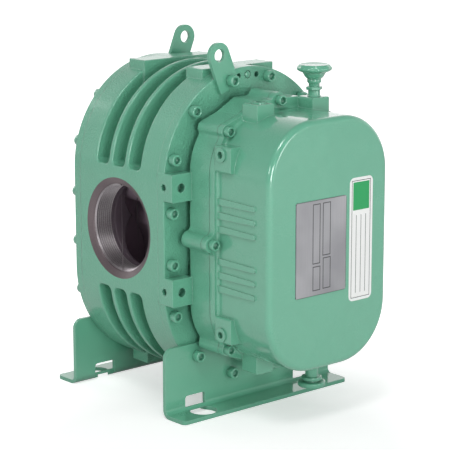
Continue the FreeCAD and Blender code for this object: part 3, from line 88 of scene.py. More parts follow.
soft_box("top_box", place=(-0.9, -0.8, 2.0), width=0.6, height=0.6, power=11)
soft_box("front_box", place=(0.9, -2.3, 0.45), width=0.6, height=0.7, power=7)
soft_box("left_box", place=(-1.1, -2.6, 0.50), width=0.8, height=0.8, power=23)
soft_box("side_box", place=(-2.4, -0.5, 1.05), width=0.5, height=0.5, power=8)
soft_box("back_box", place=(-0.4, 2.6, 1.3), width=1.4, height=1.2, power=10)


def feed(links, socket, value):
    """Set a socket to a number or a colour, or link another node's output to it."""
    if isinstance(value, (int, float)):
        socket.default_value = value
    elif isinstance(value, tuple):
        socket.default_value = (*value, 1)
    else:
        links.new(value, socket)


def calculate(tree, links, operation, *values):
    """One math node fed by outputs or plain numbers."""
    step = tree.new("ShaderNodeMath")
    step.operation = operation
    for socket, value in zip(step.inputs, values):
        feed(links, socket, value)
    return step.outputs[0]


def scaled(tree, links, value, low, high, start=0.0, end=1.0):
    """Turn the range from start to end into the range from low to high, and stay in it."""
    spread = tree.new("ShaderNodeMapRange")
    spread.inputs["From Min"].default_value = start
    spread.inputs["From Max"].default_value = end
    spread.inputs["To Min"].default_value = low
    spread.inputs["To Max"].default_value = high
    links.new(value, spread.inputs["Value"])
    return spread.outputs["Result"]


def light_room(room_light, bright_side, side_start, side_end, mirrored_dark, mirrored_bright):
    """Even room light, a white backdrop, and a bright side that glossy paint mirrors."""
    world = bpy.data.worlds.new("studio")
    bpy.context.scene.world = world
    world.use_nodes = True
    tree, links = world.node_tree.nodes, world.node_tree.links
    room = tree["Background"]
    mirrored = tree.new("ShaderNodeBackground")
    backdrop = tree.new("ShaderNodeBackground")
    for light in (room, mirrored, backdrop):
        light.inputs["Color"].default_value = (1, 1, 1, 1)
    room.inputs["Strength"].default_value = room_light
    backdrop.inputs["Strength"].default_value = 1.0
    towards = tree.new("ShaderNodeTexCoord")
    side = tree.new("ShaderNodeVectorMath")
    side.operation = "DOT_PRODUCT"
    side.inputs[1].default_value = bright_side
    links.new(towards.outputs["Generated"], side.inputs[0])
    strength = scaled(
        tree, links, side.outputs["Value"], mirrored_dark, mirrored_bright, side_start, side_end)
    links.new(strength, mirrored.inputs["Strength"])
    ray = tree.new("ShaderNodeLightPath")
    in_gloss = tree.new("ShaderNodeMixShader")
    in_view = tree.new("ShaderNodeMixShader")
    links.new(ray.outputs["Is Glossy Ray"], in_gloss.inputs["Fac"])
    links.new(room.outputs[0], in_gloss.inputs[1])
    links.new(mirrored.outputs[0], in_gloss.inputs[2])
    links.new(ray.outputs["Is Camera Ray"], in_view.inputs["Fac"])
    links.new(in_gloss.outputs[0], in_view.inputs[1])
    links.new(backdrop.outputs[0], in_view.inputs[2])
    links.new(in_view.outputs[0], tree["World Output"].inputs["Surface"])


light_room(
    room_light=0.36, bright_side=(0.50, 0.40, -1.00), side_start=-0.50, side_end=0.40,
    mirrored_dark=0.15, mirrored_bright=1.25)


def floor_finish(grey, shadow_middle, shadow_lift, shadow_near, shadow_far, mirrored_share):
    """Matt white that keeps the machine's shadow and fades into the backdrop further out."""
    material = bpy.data.materials.new("studio_floor")
    material.use_nodes = True
    tree, links = material.node_tree.nodes, material.node_tree.links
    tree.clear()
    matt = tree.new("ShaderNodeBsdfDiffuse")
    matt.inputs["Color"].default_value = (grey, grey, grey, 1)
    place = tree.new("ShaderNodeTexCoord")
    reach = tree.new("ShaderNodeVectorMath")
    reach.operation = "DISTANCE"
    reach.inputs[1].default_value = shadow_middle
    links.new(place.outputs["Object"], reach.inputs[0])
    rise = scaled(tree, links, reach.outputs["Value"], shadow_lift, 1.0, shadow_near, shadow_far)
    ray = tree.new("ShaderNodeLightPath")
    seen = calculate(
        tree, links, "MULTIPLY_ADD", ray.outputs["Is Glossy Ray"], mirrored_share,
        ray.outputs["Is Camera Ray"])
    lift = tree.new("ShaderNodeEmission")
    links.new(calculate(tree, links, "MULTIPLY", seen, rise), lift.inputs["Strength"])
    both = tree.new("ShaderNodeAddShader")
    result = tree.new("ShaderNodeOutputMaterial")
    links.new(matt.outputs[0], both.inputs[0])
    links.new(lift.outputs[0], both.inputs[1])
    links.new(both.outputs[0], result.inputs["Surface"])
    return material


bpy.ops.mesh.primitive_circle_add(vertices=96, radius=9.0, fill_type="NGON", location=(0, 0, 0))
floor = bpy.context.object
floor.name = "floor"
floor.data.materials.append(floor_finish(
    grey=0.80, shadow_middle=(-0.16, -0.22, 0), shadow_lift=0.45, shadow_near=0.20,
    shadow_far=0.55, mirrored_share=0.2))
floor.select_set(False)


# Rotor housing
# One grey iron casting, shot blasted and sprayed with glossy sea-green machine
# enamel, with painted shade in its corners and painted highlights along its edges.
# The two crossing bores, the port passages and the wide bevels round the ports
# are bare; behind the threads they are coloured darker, as painted shade.
housing_low, housing_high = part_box("rotor_housing")
port_height = (housing_low.z + housing_high.z) / 2
half_centres = abs(frame["record"]["behaviour"]["joints"][0]["pos_m"][2] - port_height)
bore_edge = 0.0960
bevel_edge = 0.0627
thread_end = 0.102
ENAMEL = (0.150, 0.452, 0.306)
ENAMEL_THICK = (0.130, 0.418, 0.278)
# Darker green for specks, and for painted shade in corners.
SPECK_AND_PAINTED_SHADE_GREEN = (0.036, 0.185, 0.115)
# Lighter green for painted highlights along edges.
PAINTED_HIGHLIGHT_GREEN = (0.290, 0.560, 0.430)
IRON = (0.235, 0.195, 0.200)
IRON_FILM = (0.120, 0.092, 0.105)


def new_group(name, inputs, outputs):
    """An empty node group with float inputs and the outputs named."""
    group = bpy.data.node_groups.new(name, "ShaderNodeTree")
    for label, value in inputs:
        socket = group.interface.new_socket(
            name=label, in_out="INPUT", socket_type="NodeSocketFloat")
        socket.default_value = value
    for label, kind in outputs:
        group.interface.new_socket(
            name=label, in_out="OUTPUT", socket_type=f"NodeSocket{kind}")
    group.nodes.new("NodeGroupInput")
    group.nodes.new("NodeGroupOutput")
    return group


def mix_colour(tree, links, amount, first, second):
    """Blend two colours, each a value or an output, by a mask."""
    mixer = tree.new("ShaderNodeMix")
    mixer.data_type = "RGBA"
    links.new(amount, mixer.inputs["Factor"])
    feed(links, mixer.inputs[6], first)
    feed(links, mixer.inputs[7], second)
    return mixer.outputs[2]


def noise(tree, links, place, fineness, detail=0.0):
    """Cloudy noise over a piece; the fineness counts its clouds to the metre."""
    clouds = tree.new("ShaderNodeTexNoise")
    clouds.inputs["Detail"].default_value = detail
    feed(links, clouds.inputs["Scale"], fineness)
    links.new(place, clouds.inputs["Vector"])
    return clouds.outputs["Fac"]


def cast_skin_group():
    """Height of a blasted casting under enamel: soft swell, sand grain and orange peel."""
    group = new_group(
        "cast_skin",
        inputs=[("Grain Size", 260.0), ("Grain Depth", 0.6)],
        outputs=[("Height", "Float"), ("Mottle", "Float"), ("Speck", "Float")])
    tree, links = group.nodes, group.links
    source, result = tree["Group Input"], tree["Group Output"]
    place = tree.new("ShaderNodeTexCoord").outputs["Object"]
    peel = noise(tree, links, place, fineness=source.outputs["Grain Size"])
    sand = noise(tree, links, place, fineness=950.0)
    swell = noise(tree, links, place, fineness=34.0)
    sand_height, swell_height = 0.35, 0.15
    sand_tone, swell_tone = 0.4, 0.6
    fine = calculate(tree, links, "MULTIPLY_ADD", sand, sand_height, peel)
    total = calculate(tree, links, "MULTIPLY_ADD", swell, swell_height, fine)
    deep = calculate(tree, links, "MULTIPLY", total, source.outputs["Grain Depth"])
    links.new(deep, result.inputs["Height"])
    fine_mottle = calculate(tree, links, "MULTIPLY", sand, sand_tone)
    mottle = calculate(tree, links, "MULTIPLY_ADD", swell, swell_tone, fine_mottle)
    links.new(mottle, result.inputs["Mottle"])
    dust = tree.new("ShaderNodeTexVoronoi")
    dust.inputs["Scale"].default_value = 210.0
    links.new(place, dust.inputs["Vector"])
    speck = scaled(tree, links, dust.outputs["Distance"], low=1.0, high=0.0, start=0.03, end=0.10)
    links.new(speck, result.inputs["Speck"])
    return group


def painted_edge_light_and_shade_group():
    """Rounded edge normal, with masks for painted edge highlights and painted corner shade."""
    group = new_group(
        "painted_edge_light_and_shade",
        inputs=[("Round", 0.0012), ("Corner Reach", 0.010)],
        outputs=[("Normal", "Vector"), ("Edge", "Float"), ("Corner", "Float")])
    tree, links = group.nodes, group.links
    source, result = tree["Group Input"], tree["Group Output"]
    samples = 6
    rounded = tree.new("ShaderNodeBevel")
    rounded.samples = samples
    links.new(source.outputs["Round"], rounded.inputs["Radius"])
    links.new(rounded.outputs["Normal"], result.inputs["Normal"])
    surface = tree.new("ShaderNodeNewGeometry")
    facing = tree.new("ShaderNodeVectorMath")
    facing.operation = "DOT_PRODUCT"
    links.new(rounded.outputs["Normal"], facing.inputs[0])
    links.new(surface.outputs["Normal"], facing.inputs[1])
    edge = scaled(tree, links, facing.outputs["Value"], low=0.0, high=1.0, start=0.995, end=0.85)
    links.new(edge, result.inputs["Edge"])
    # Where ambient occlusion finds a corner, the corner mask marks painted shade.
    hollow = tree.new("ShaderNodeAmbientOcclusion")
    hollow.samples = samples
    links.new(source.outputs["Corner Reach"], hollow.inputs["Distance"])
    corner = calculate(tree, links, "SUBTRACT", 1.0, hollow.outputs["AO"])
    links.new(corner, result.inputs["Corner"])
    return group


cast_skin = cast_skin_group()
painted_edge_light_and_shade = painted_edge_light_and_shade_group()


def new_finish(name):
    """A new material, with its nodes, its links and its shader."""
    material = bpy.data.materials.new(name)
    material.use_nodes = True
    tree, links = material.node_tree.nodes, material.node_tree.links
    return material, tree, links, tree["Principled BSDF"]


def use_group(tree, group, values):
    """Place a node group in a material, with the material's own values."""
    placed = tree.new("ShaderNodeGroup")
    placed.node_tree = group
    for label, value in values.items():
        placed.inputs[label].default_value = value
    return placed


def use_skin(tree, size, depth):
    """Place the casting skin in a material."""
    return use_group(tree, cast_skin, {"Grain Size": size, "Grain Depth": depth})


def use_edge(tree, radius, reach=0.010):
    """Place the masks for painted highlights and painted shade in a material."""
    return use_group(tree, painted_edge_light_and_shade, {"Round": radius, "Corner Reach": reach})


def relief_of(tree, links, height, depth, strength, normal=None):
    """Bump, on top of the rounded edges where their normal is given."""
    relief = tree.new("ShaderNodeBump")
    relief.inputs["Distance"].default_value = depth
    relief.inputs["Strength"].default_value = strength
    links.new(height, relief.inputs["Height"])
    if normal is not None:
        links.new(normal, relief.inputs["Normal"])
    return relief.outputs["Normal"]


def enamel_colour(tree, links, skin, edge, shade=0.85):
    """Enamel with thick places, specks, painted corner shade and painted edge highlights."""
    body_colour = mix_colour(tree, links, skin.outputs["Mottle"], ENAMEL, ENAMEL_THICK)
    # Corners darken towards the darker green: painted shade.
    corner = scaled(
        tree, links, edge.outputs["Corner"], low=0.0, high=shade, start=0.12, end=0.95)
    shaded = mix_colour(tree, links, corner, body_colour, SPECK_AND_PAINTED_SHADE_GREEN)
    speck = scaled(tree, links, skin.outputs["Speck"], low=0.0, high=0.10)
    specked = mix_colour(tree, links, speck, shaded, SPECK_AND_PAINTED_SHADE_GREEN)
    # Edges lighten towards the lighter green: painted highlights.
    edge_highlight = scaled(tree, links, edge.outputs["Edge"], low=0.0, high=0.5)
    return mix_colour(tree, links, edge_highlight, specked, PAINTED_HIGHLIGHT_GREEN)


def gloss_over(shader, roughness):
    """The clear, hard top of the enamel."""
    shader.inputs["IOR"].default_value = 1.4
    shader.inputs["Coat Roughness"].default_value = roughness
    shader.inputs["Coat IOR"].default_value = 1.6


def own_place(tree, links):
    """How far a point lies across, along and up the machine."""
    apart = tree.new("ShaderNodeSeparateXYZ")
    links.new(tree.new("ShaderNodeTexCoord").outputs["Object"], apart.inputs["Vector"])
    return apart.outputs["X"], apart.outputs["Y"], apart.outputs["Z"]


def in_round(tree, links, first, second, radius):
    """Mask of a round hole, from a point's two offsets from its centre line."""
    first_square = calculate(tree, links, "MULTIPLY", first, first)
    both_squares = calculate(tree, links, "MULTIPLY_ADD", second, second, first_square)
    reach = calculate(tree, links, "SQRT", both_squares)
    return calculate(tree, links, "LESS_THAN", reach, radius)


def machined_places_group():
    """Mask of the bores, the port passages and the port bevels, and of all behind the threads."""
    group = new_group("machined_places", inputs=[], outputs=[("Bare", "Float"), ("Deep", "Float")])
    tree, links = group.nodes, group.links
    result = tree["Group Output"]
    across, along, up = own_place(tree, links)
    height = calculate(tree, links, "SUBTRACT", up, port_height)
    level = calculate(tree, links, "ABSOLUTE", height)
    from_shaft = calculate(tree, links, "SUBTRACT", level, half_centres)
    in_bore = in_round(tree, links, across, from_shaft, bore_edge)
    near_port = in_round(tree, links, along, height, bevel_edge)
    links.new(calculate(tree, links, "MAXIMUM", in_bore, near_port), result.inputs["Bare"])
    inwards = calculate(tree, links, "ABSOLUTE", across)
    links.new(calculate(tree, links, "LESS_THAN", inwards, thread_end), result.inputs["Deep"])
    return group


def casting_finish(name, bare_group, edge_round, shade_reach, inside_light, inside_dark):
    """Enamel outside, bare iron where the mask says bare, inside colours where it says deep."""
    material, tree, links, shader = new_finish(name)
    skin = use_skin(tree, size=480.0, depth=1.0)
    edge = use_edge(tree, edge_round, shade_reach)
    bare = use_group(tree, bare_group, {})
    paint = enamel_colour(tree, links, skin, edge)
    metal = mix_colour(tree, links, skin.outputs["Mottle"], IRON, IRON_FILM)
    # Inside colours: the headplates' oiled iron; on the housing, a darker tone as painted shade.
    oiled = mix_colour(tree, links, skin.outputs["Mottle"], inside_light, inside_dark)
    inside = mix_colour(tree, links, bare.outputs["Deep"], metal, oiled)
    colour = mix_colour(tree, links, bare.outputs["Bare"], paint, inside)
    links.new(colour, shader.inputs["Base Color"])
    roughness = scaled(tree, links, skin.outputs["Mottle"], low=0.30, high=0.42)
    links.new(roughness, shader.inputs["Roughness"])
    shiny = calculate(tree, links, "SUBTRACT", bare.outputs["Bare"], bare.outputs["Deep"])
    links.new(scaled(tree, links, shiny, low=0.0, high=0.5), shader.inputs["Metallic"])
    coat = scaled(tree, links, bare.outputs["Bare"], low=0.8, high=0.0)
    links.new(coat, shader.inputs["Coat Weight"])
    rough = scaled(tree, links, bare.outputs["Bare"], low=1.0, high=0.12)
    height = calculate(tree, links, "MULTIPLY", skin.outputs["Height"], rough)
    relief = relief_of(
        tree, links, height, depth=0.0011, strength=0.6, normal=edge.outputs["Normal"])
    links.new(relief, shader.inputs["Normal"])
    gloss_over(shader, roughness=0.16)
    return material


def finish_node(name, material):
    """Give one CAD node its material."""
    mesh = nodes[name].data
    mesh.materials.clear()
    mesh.materials.append(material)


# Behind the threads the housing is coloured darker than its bevels: painted shade inside it.
finish_node("rotor_housing", casting_finish(
    "enamelled_and_bored_casting", machined_places_group(), edge_round=0.0028, shade_reach=0.016,
    inside_light=(0.115, 0.088, 0.108), inside_dark=(0.085, 0.064, 0.080)))


# Headplates
# A cast headplate closes each end of the housing. Its inner face, which the
# rotor ends run past, is faced flat and left bare; the outside is enamelled.
OILED_IRON = (0.460, 0.360, 0.430)
OILED_SHADE = (0.330, 0.255, 0.315)
facing_margin = 0.00005


def faced_side_group(name, face):
    """Mask of everything nearer to the machine's middle than the faced side."""
    group = new_group(name, inputs=[], outputs=[("Bare", "Float"), ("Deep", "Float")])
    tree, links = group.nodes, group.links
    depth = calculate(tree, links, "ABSOLUTE", own_place(tree, links)[1])
    faced = calculate(tree, links, "LESS_THAN", depth, face)
    for mask in ("Bare", "Deep"):
        links.new(faced, tree["Group Output"].inputs[mask])
    return group


for word in ("gear", "drive"):
    plate_low, plate_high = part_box(f"{word}_end_headplate")
    faced_side = min(abs(plate_low.y), abs(plate_high.y)) + facing_margin
    finish_node(f"{word}_end_headplate", casting_finish(
        f"enamelled_{word}_end_casting", faced_side_group(f"{word}_end_faced_side", faced_side),
        edge_round=0.0014, shade_reach=0.014, inside_light=OILED_IRON, inside_dark=OILED_SHADE))


# Rotors
# Two cast iron rotors of two lobes each, machined all over and left bare under
# a thin film of oil. They turn in mesh without touching, so they show no wear.
def bare_metal(name, light, dark, roughness, mark_size, bump, metallic=1.0,
               edge_round=0.0004, reach=0.010, patchiness=0.15):
    """Machined metal with fine tool marks, a patchy oil film and painted shade in corners."""
    material, tree, links, shader = new_finish(name)
    skin = use_skin(tree, mark_size, depth=0.6)
    edge = use_edge(tree, edge_round, reach)
    film = mix_colour(tree, links, skin.outputs["Mottle"], light, dark)
    # Corners darken towards the dark tone: painted shade.
    corner = scaled(tree, links, edge.outputs["Corner"], low=0.0, high=0.7)
    links.new(mix_colour(tree, links, corner, film, dark), shader.inputs["Base Color"])
    patchy = scaled(tree, links, skin.outputs["Mottle"], roughness, roughness + patchiness)
    links.new(patchy, shader.inputs["Roughness"])
    relief = relief_of(
        tree, links, skin.outputs["Height"], bump, strength=0.4, normal=edge.outputs["Normal"])
    links.new(relief, shader.inputs["Normal"])
    shader.inputs["Metallic"].default_value = metallic
    return material


iron = bare_metal(
    "oiled_rotor_iron", OILED_IRON, OILED_SHADE,
    roughness=0.42, mark_size=900.0, bump=0.0002, metallic=0.15)
for name in ("drive_rotor", "driven_rotor"):
    finish_node(name, iron)


# Shafts, gears and bearings
# Ground steel shafts turn in bearings of hardened steel. Two cut steel gears,
# each held by a nut, keep the rotors in step, and a disc slings oil on them.
steel = bare_metal(
    "ground_steel", light=(0.52, 0.51, 0.50), dark=(0.36, 0.35, 0.34),
    roughness=0.22, mark_size=1400.0, bump=0.0001)
gear_steel = bare_metal(
    "gear_steel", light=(0.40, 0.38, 0.36), dark=(0.22, 0.20, 0.18),
    roughness=0.28, mark_size=900.0, bump=0.0002)
for name in nodes:
    if "shaft" in name and "seal" not in name or "bearing_outer_rings" in name:
        finish_node(name, steel)
    if "timing_gear" in name or "gear_nut" in name or name == "oil_slinger":
        finish_node(name, gear_steel)


# Port threads
# Each port is tapped 4 inch pipe thread, eight turns to the inch, cut in the
# bare iron of the housing behind a wide machined bevel.
inch = 0.0254
thread_pitch = inch / 8
thread_turns = 8
steps_per_turn = 96
merge_distance = 1e-6
thread_root = 0.05455
thread_crest = 0.0520
bevel_depth = 0.004
thread_mouth = housing_high.x - bevel_depth
# The near-black dark tone fills the thread roots through the corner mask: painted shade.
thread_iron = bare_metal(
    "cut_thread_iron", light=(0.70, 0.64, 0.67), dark=(0.020, 0.014, 0.018),
    roughness=0.24, mark_size=700.0, bump=0.00003, metallic=0.8, edge_round=0.0001, reach=0.0022)


def edit_only(piece, kind, wanted):
    """Edit a piece with only the wanted ones of its vertices, edges or faces selected."""
    bpy.ops.object.mode_set(mode="EDIT")
    bpy.ops.mesh.select_mode(type=kind)
    bpy.ops.mesh.select_all(action="DESELECT")
    bpy.ops.object.mode_set(mode="OBJECT")
    mesh = piece.data
    for element in {"VERT": mesh.vertices, "EDGE": mesh.edges, "FACE": mesh.polygons}[kind]:
        element.select = wanted(element)
    bpy.ops.object.mode_set(mode="EDIT")


def cap_end(piece, x):
    """Close the thread's triangular end that lies at one x."""
    bpy.ops.object.mode_set(mode="OBJECT")
    nearest_first = sorted(
        piece.data.vertices, key=lambda corner: abs(corner.co.x - x) + abs(corner.co.y))
    triangle = {corner.index for corner in nearest_first[:3]}
    edit_only(piece, "VERT", lambda corner: corner.index in triangle)
    bpy.ops.mesh.edge_face_add()


for side, port in ((1, "right"), (-1, "left")):
    inner_end = thread_mouth - (thread_turns + 1) * thread_pitch
    middle = side * (inner_end + thread_pitch / 2)
    bpy.ops.object.select_all(action="DESELECT")
    bpy.ops.mesh.primitive_circle_add(
        vertices=3, radius=1, location=(middle, 0, port_height + thread_root))
    thread = bpy.context.object
    thread.name = f"{port}_port_thread"
    places = ((-thread_pitch / 2, 0), (0, thread_crest - thread_root), (thread_pitch / 2, 0))
    for index, (along, inwards) in enumerate(places):
        shift = Vector((along, 0, inwards)) - thread.data.vertices[index].co
        edit_only(thread, "VERT", lambda corner: corner.index == index)
        bpy.ops.transform.translate(value=shift)
        bpy.ops.object.mode_set(mode="OBJECT")
    bpy.context.scene.cursor.location = (0, 0, port_height)
    bpy.ops.object.origin_set(type="ORIGIN_CURSOR")
    winding = thread.modifiers.new("winding", "SCREW")
    winding.axis = "X"
    winding.screw_offset = side * thread_pitch
    winding.iterations = thread_turns
    winding.steps = steps_per_turn
    winding.render_steps = steps_per_turn
    winding.use_smooth_shade = False
    bpy.ops.object.modifier_apply(modifier="winding")
    bpy.ops.object.transform_apply(location=True, rotation=True, scale=True)
    bpy.ops.object.mode_set(mode="EDIT")
    bpy.ops.mesh.select_mode(type="VERT")
    bpy.ops.mesh.select_all(action="SELECT")
    bpy.ops.mesh.remove_doubles(threshold=merge_distance)
    cap_end(thread, middle)
    cap_end(thread, middle + side * thread_turns * thread_pitch)
    bpy.ops.mesh.select_all(action="SELECT")
    bpy.ops.mesh.normals_make_consistent(inside=False)
    bpy.ops.object.mode_set(mode="OBJECT")
    thread.data.materials.append(thread_iron)
    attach(thread, "casing")
    thread.select_set(False)


# Gear cover
# A deep hollow casting over the timing gears, with bosses, strips and a lobed
# flange. Its skin is smoother than the housing's, so its enamel shines more.
def enamel(name, grain_size, grain_depth, edge_round, bump, roughness, coat, shade=0.85,
           patchiness=0.12):
    """Sea-green machine enamel over iron or steel."""
    material, tree, links, shader = new_finish(name)
    skin = use_skin(tree, grain_size, grain_depth)
    edge = use_edge(tree, edge_round, reach=0.016)
    links.new(enamel_colour(tree, links, skin, edge, shade), shader.inputs["Base Color"])
    patchy = scaled(tree, links, skin.outputs["Mottle"], roughness, roughness + patchiness)
    links.new(patchy, shader.inputs["Roughness"])
    relief = relief_of(
        tree, links, skin.outputs["Height"], bump, strength=0.5, normal=edge.outputs["Normal"])
    links.new(relief, shader.inputs["Normal"])
    shader.inputs["Coat Weight"].default_value = coat
    gloss_over(shader, roughness=0.05)
    return material


smooth_paint = enamel(
    "enamel_on_smooth_cover", grain_size=420.0, grain_depth=0.30, edge_round=0.0018,
    bump=0.0003, roughness=0.22, coat=1.0, shade=0.55)
finish_node("gear_cover", smooth_paint)


# Bearing cover
# A small casting over the bearings at the drive end, as rough as the housing
# and enamelled with it.
casting_paint = enamel(
    "enamel_on_rough_casting", grain_size=480.0, grain_depth=1.0, edge_round=0.0012,
    bump=0.0007, roughness=0.30, coat=0.7)
finish_node("bearing_cover", casting_paint)


# Feet, lugs and plugs
# The feet are bent from steel plate, the lifting lugs cut from it, and the plugs
# are turned. They are enamelled with the machine, as its other fittings are.
steel_paint = enamel(
    "enamel_on_steel", grain_size=500.0, grain_depth=0.20, edge_round=0.0009,
    bump=0.0003, roughness=0.24, coat=0.9)
painted_steel = ("foot", "lug", "screws", "dowel", "plug", "breather", "drain")
for name in nodes:
    if any(word in name for word in painted_steel):
        finish_node(name, steel_paint)


# Cap screws
# Socket head cap screws hold the headplates, feet, lugs, gear cover and
# bearing cover. Their heads are chamfered, enamelled over with the machine,
# and stand with their sockets at any angle.
bolt_circle = 0.1225
bolt_side_height = 0.0315
cover_side_spot = 0.1055
cover_corner_spot = (0.0815, 0.132)
cover_end_spot = 0.161
bearing_circle = 0.049
tall_head, cover_head, bearing_head = 0.0095, 0.0080, 0.0064
head_rounding = 0.09
point_chamfer = 0.25
socket_depth = 0.005
socket_turn = 0.3
smooth_under = math.radians(35)
GEAR_END, DRIVE_END = -1, 1


def cap_screw(name, head, height, shank, length, socket):
    """One screw, its seat at z 0 and its head upwards; head, shank and socket are radii."""
    up = Vector((0, 0, 1))
    bpy.ops.mesh.primitive_cylinder_add(
        vertices=32, radius=head, depth=height, location=up * height / 2)
    screw = bpy.context.object
    screw.name = name
    bpy.ops.mesh.primitive_cylinder_add(
        vertices=6, radius=socket, depth=socket_depth * 2, location=up * height,
        rotation=up * socket_turn)
    hexagon = bpy.context.object
    bpy.context.view_layer.objects.active = screw
    hole = screw.modifiers.new("socket", "BOOLEAN")
    hole.object = hexagon
    bpy.ops.object.select_all(action="DESELECT")
    screw.select_set(True)
    bpy.ops.object.modifier_apply(modifier="socket")
    bpy.data.objects.remove(hexagon)
    rounding = screw.modifiers.new("rounding", "BEVEL")
    rounding.width = height * head_rounding
    rounding.segments = 3
    rounding.limit_method = "ANGLE"
    rounding.angle_limit = math.radians(50)
    bpy.ops.object.modifier_apply(modifier="rounding")
    bpy.ops.mesh.primitive_cylinder_add(
        vertices=20, radius=shank, depth=length, location=-up * length / 2)
    edit_only(bpy.context.object, "FACE", lambda face: face.normal.z < -0.9)
    bpy.ops.mesh.bevel(offset=shank * point_chamfer, segments=1)
    bpy.ops.object.mode_set(mode="OBJECT")
    screw.select_set(True)
    bpy.context.view_layer.objects.active = screw
    bpy.ops.object.join()
    bpy.ops.object.transform_apply(location=True, rotation=True, scale=True)
    bpy.ops.object.shade_smooth_by_angle(angle=smooth_under)
    screw.select_set(False)
    return screw


def fit_screws(node, end, spots, screw, head_height, turn_step=2.39996):
    """Copies of a screw at (x, height) spots, joined as the piece that stands for one node."""
    low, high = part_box(node)
    face = low.y if end == GEAR_END else high.y
    seat = face - end * head_height
    upright = Matrix.Rotation(-end * math.pi / 2, 4, "X")
    copies = []
    for index, (x, height) in enumerate(spots):
        copy = bpy.data.objects.new(f"{node}_{index}", screw.data.copy())
        bpy.context.scene.collection.objects.link(copy)
        place = Matrix.Translation((-end * x, seat, port_height + height))
        copy.data.transform(place @ upright @ Matrix.Rotation(index * turn_step, 4, "Z"))
        copy.select_set(True)
        copies.append(copy)
    bpy.context.view_layer.objects.active = copies[0]
    if len(copies) > 1:
        bpy.ops.object.join()
    piece = bpy.context.view_layer.objects.active
    piece.name = f"{node}_detailed"
    piece.data.materials.append(screw_paint)
    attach(piece, "casing")
    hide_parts(node)
    piece.select_set(False)


def on_circle(radius, angle, side):
    """A spot round the upper or lower shaft, from the machine's middle."""
    turn = math.radians(angle)
    return radius * math.cos(turn), side * (half_centres + radius * math.sin(turn))


screw_paint = enamel(
    "enamel_on_screws", grain_size=700.0, grain_depth=0.25, edge_round=0.0008,
    bump=0.0002, roughness=0.22, coat=1.0)
foot_spots = [on_circle(bolt_circle, angle, -1) for angle in (45, 75, 105, 135)]
lug_spot = on_circle(bolt_circle, 105, 1)
plain_spots = [on_circle(bolt_circle, angle, 1) for angle in (15, 45, 75, 135, 165)]
plain_spots += [on_circle(bolt_circle, angle, -1) for angle in (15, 165)]
plain_spots += [
    (side * bolt_circle, level * bolt_side_height) for side in (1, -1) for level in (1, -1)]
cover_spots = [(side * cover_side_spot, 0) for side in (1, -1)]
cover_spots += [
    (side * cover_corner_spot[0], level * cover_corner_spot[1])
    for side in (1, -1) for level in (1, -1)]
cover_spots += [(0, level * cover_end_spot) for level in (1, -1)]
bearing_spots = [
    on_circle(bearing_circle, angle, level) for level in (1, -1) for angle in (15, 90, 165)]
head_screw = cap_screw(
    "headplate_screw", head=0.00715, height=tall_head, shank=0.00476, length=0.0280, socket=0.0046)
foot_screw = cap_screw(
    "foot_screw", head=0.00715, height=tall_head, shank=0.00476, length=0.0328, socket=0.0046)
cover_screw = cap_screw(
    "cover_screw", head=0.00625, height=cover_head, shank=0.00476, length=0.0292, socket=0.0046)
bearing_screw = cap_screw(
    "bearing_screw", head=0.0050, height=bearing_head, shank=0.0032, length=0.0220, socket=0.0029)
for word, end in (("gear", GEAR_END), ("drive", DRIVE_END)):
    fit_screws(f"{word}_end_headplate_screws", end, plain_spots, head_screw, tall_head)
    fit_screws(f"{word}_end_foot_screws", end, foot_spots, foot_screw, tall_head)
    fit_screws(f"{word}_end_lug_screw", end, [lug_spot], foot_screw, tall_head)
fit_screws("cover_screws", GEAR_END, cover_spots, cover_screw, cover_head)
fit_screws("bearing_cover_screws", DRIVE_END, bearing_spots, bearing_screw, bearing_head)
for screw in (head_screw, foot_screw, cover_screw, bearing_screw):
    bpy.data.objects.remove(screw)


# Dowel pins
# Two ground steel pins set each headplate true to the housing. They are driven
# in level with its face and enamelled over, with a groove left round each end.
dowel_radius = 0.0049
dowel_length = 0.024
groove_depth = 0.0016
groove_width = 0.0009
pin_stands_out = 0.0002
pin_rounding = 0.0004
bpy.ops.mesh.primitive_cylinder_add(
    vertices=40, radius=dowel_radius, depth=dowel_length - groove_depth,
    location=(0, 0, -(dowel_length + groove_depth) / 2))
dowel = bpy.context.object
bpy.ops.object.transform_apply(location=True, rotation=True, scale=True)
edit_only(dowel, "FACE", lambda face: face.normal.z > 0.9)
bpy.ops.mesh.inset(thickness=groove_width, depth=0)
bpy.ops.mesh.extrude_region()
bpy.ops.transform.translate(value=(0, 0, groove_depth + pin_stands_out))
bpy.ops.mesh.bevel(offset=pin_rounding, segments=2)
bpy.ops.object.mode_set(mode="OBJECT")
bpy.ops.object.shade_smooth_by_angle(angle=smooth_under)
dowel.select_set(False)
dowel_spots = [(0, level * (half_centres + bolt_circle)) for level in (1, -1)]
for word, end in (("gear", GEAR_END), ("drive", DRIVE_END)):
    fit_screws(f"{word}_end_dowel_pins", end, dowel_spots, dowel, head_height=0.0)
bpy.data.objects.remove(dowel)


# Breather
# A turned steel breather, enamelled over: a body screwed into the cover's
# boss, a hexagon lock nut, a necked bowl, and a cap with a scalloped rim.
boss_top = 0.383
body_low, body_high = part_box("breather_body")
breather_spot = Vector((
    (body_low.x + body_high.x) / 2, (body_low.y + body_high.y) / 2, boss_top))
# Extruded rings come in another order each run, so a turned piece's faces are
# sorted by their distance from a point at which no two of them are equally far.
sorting_offset = Vector((0.008, 0.010, 0.044))


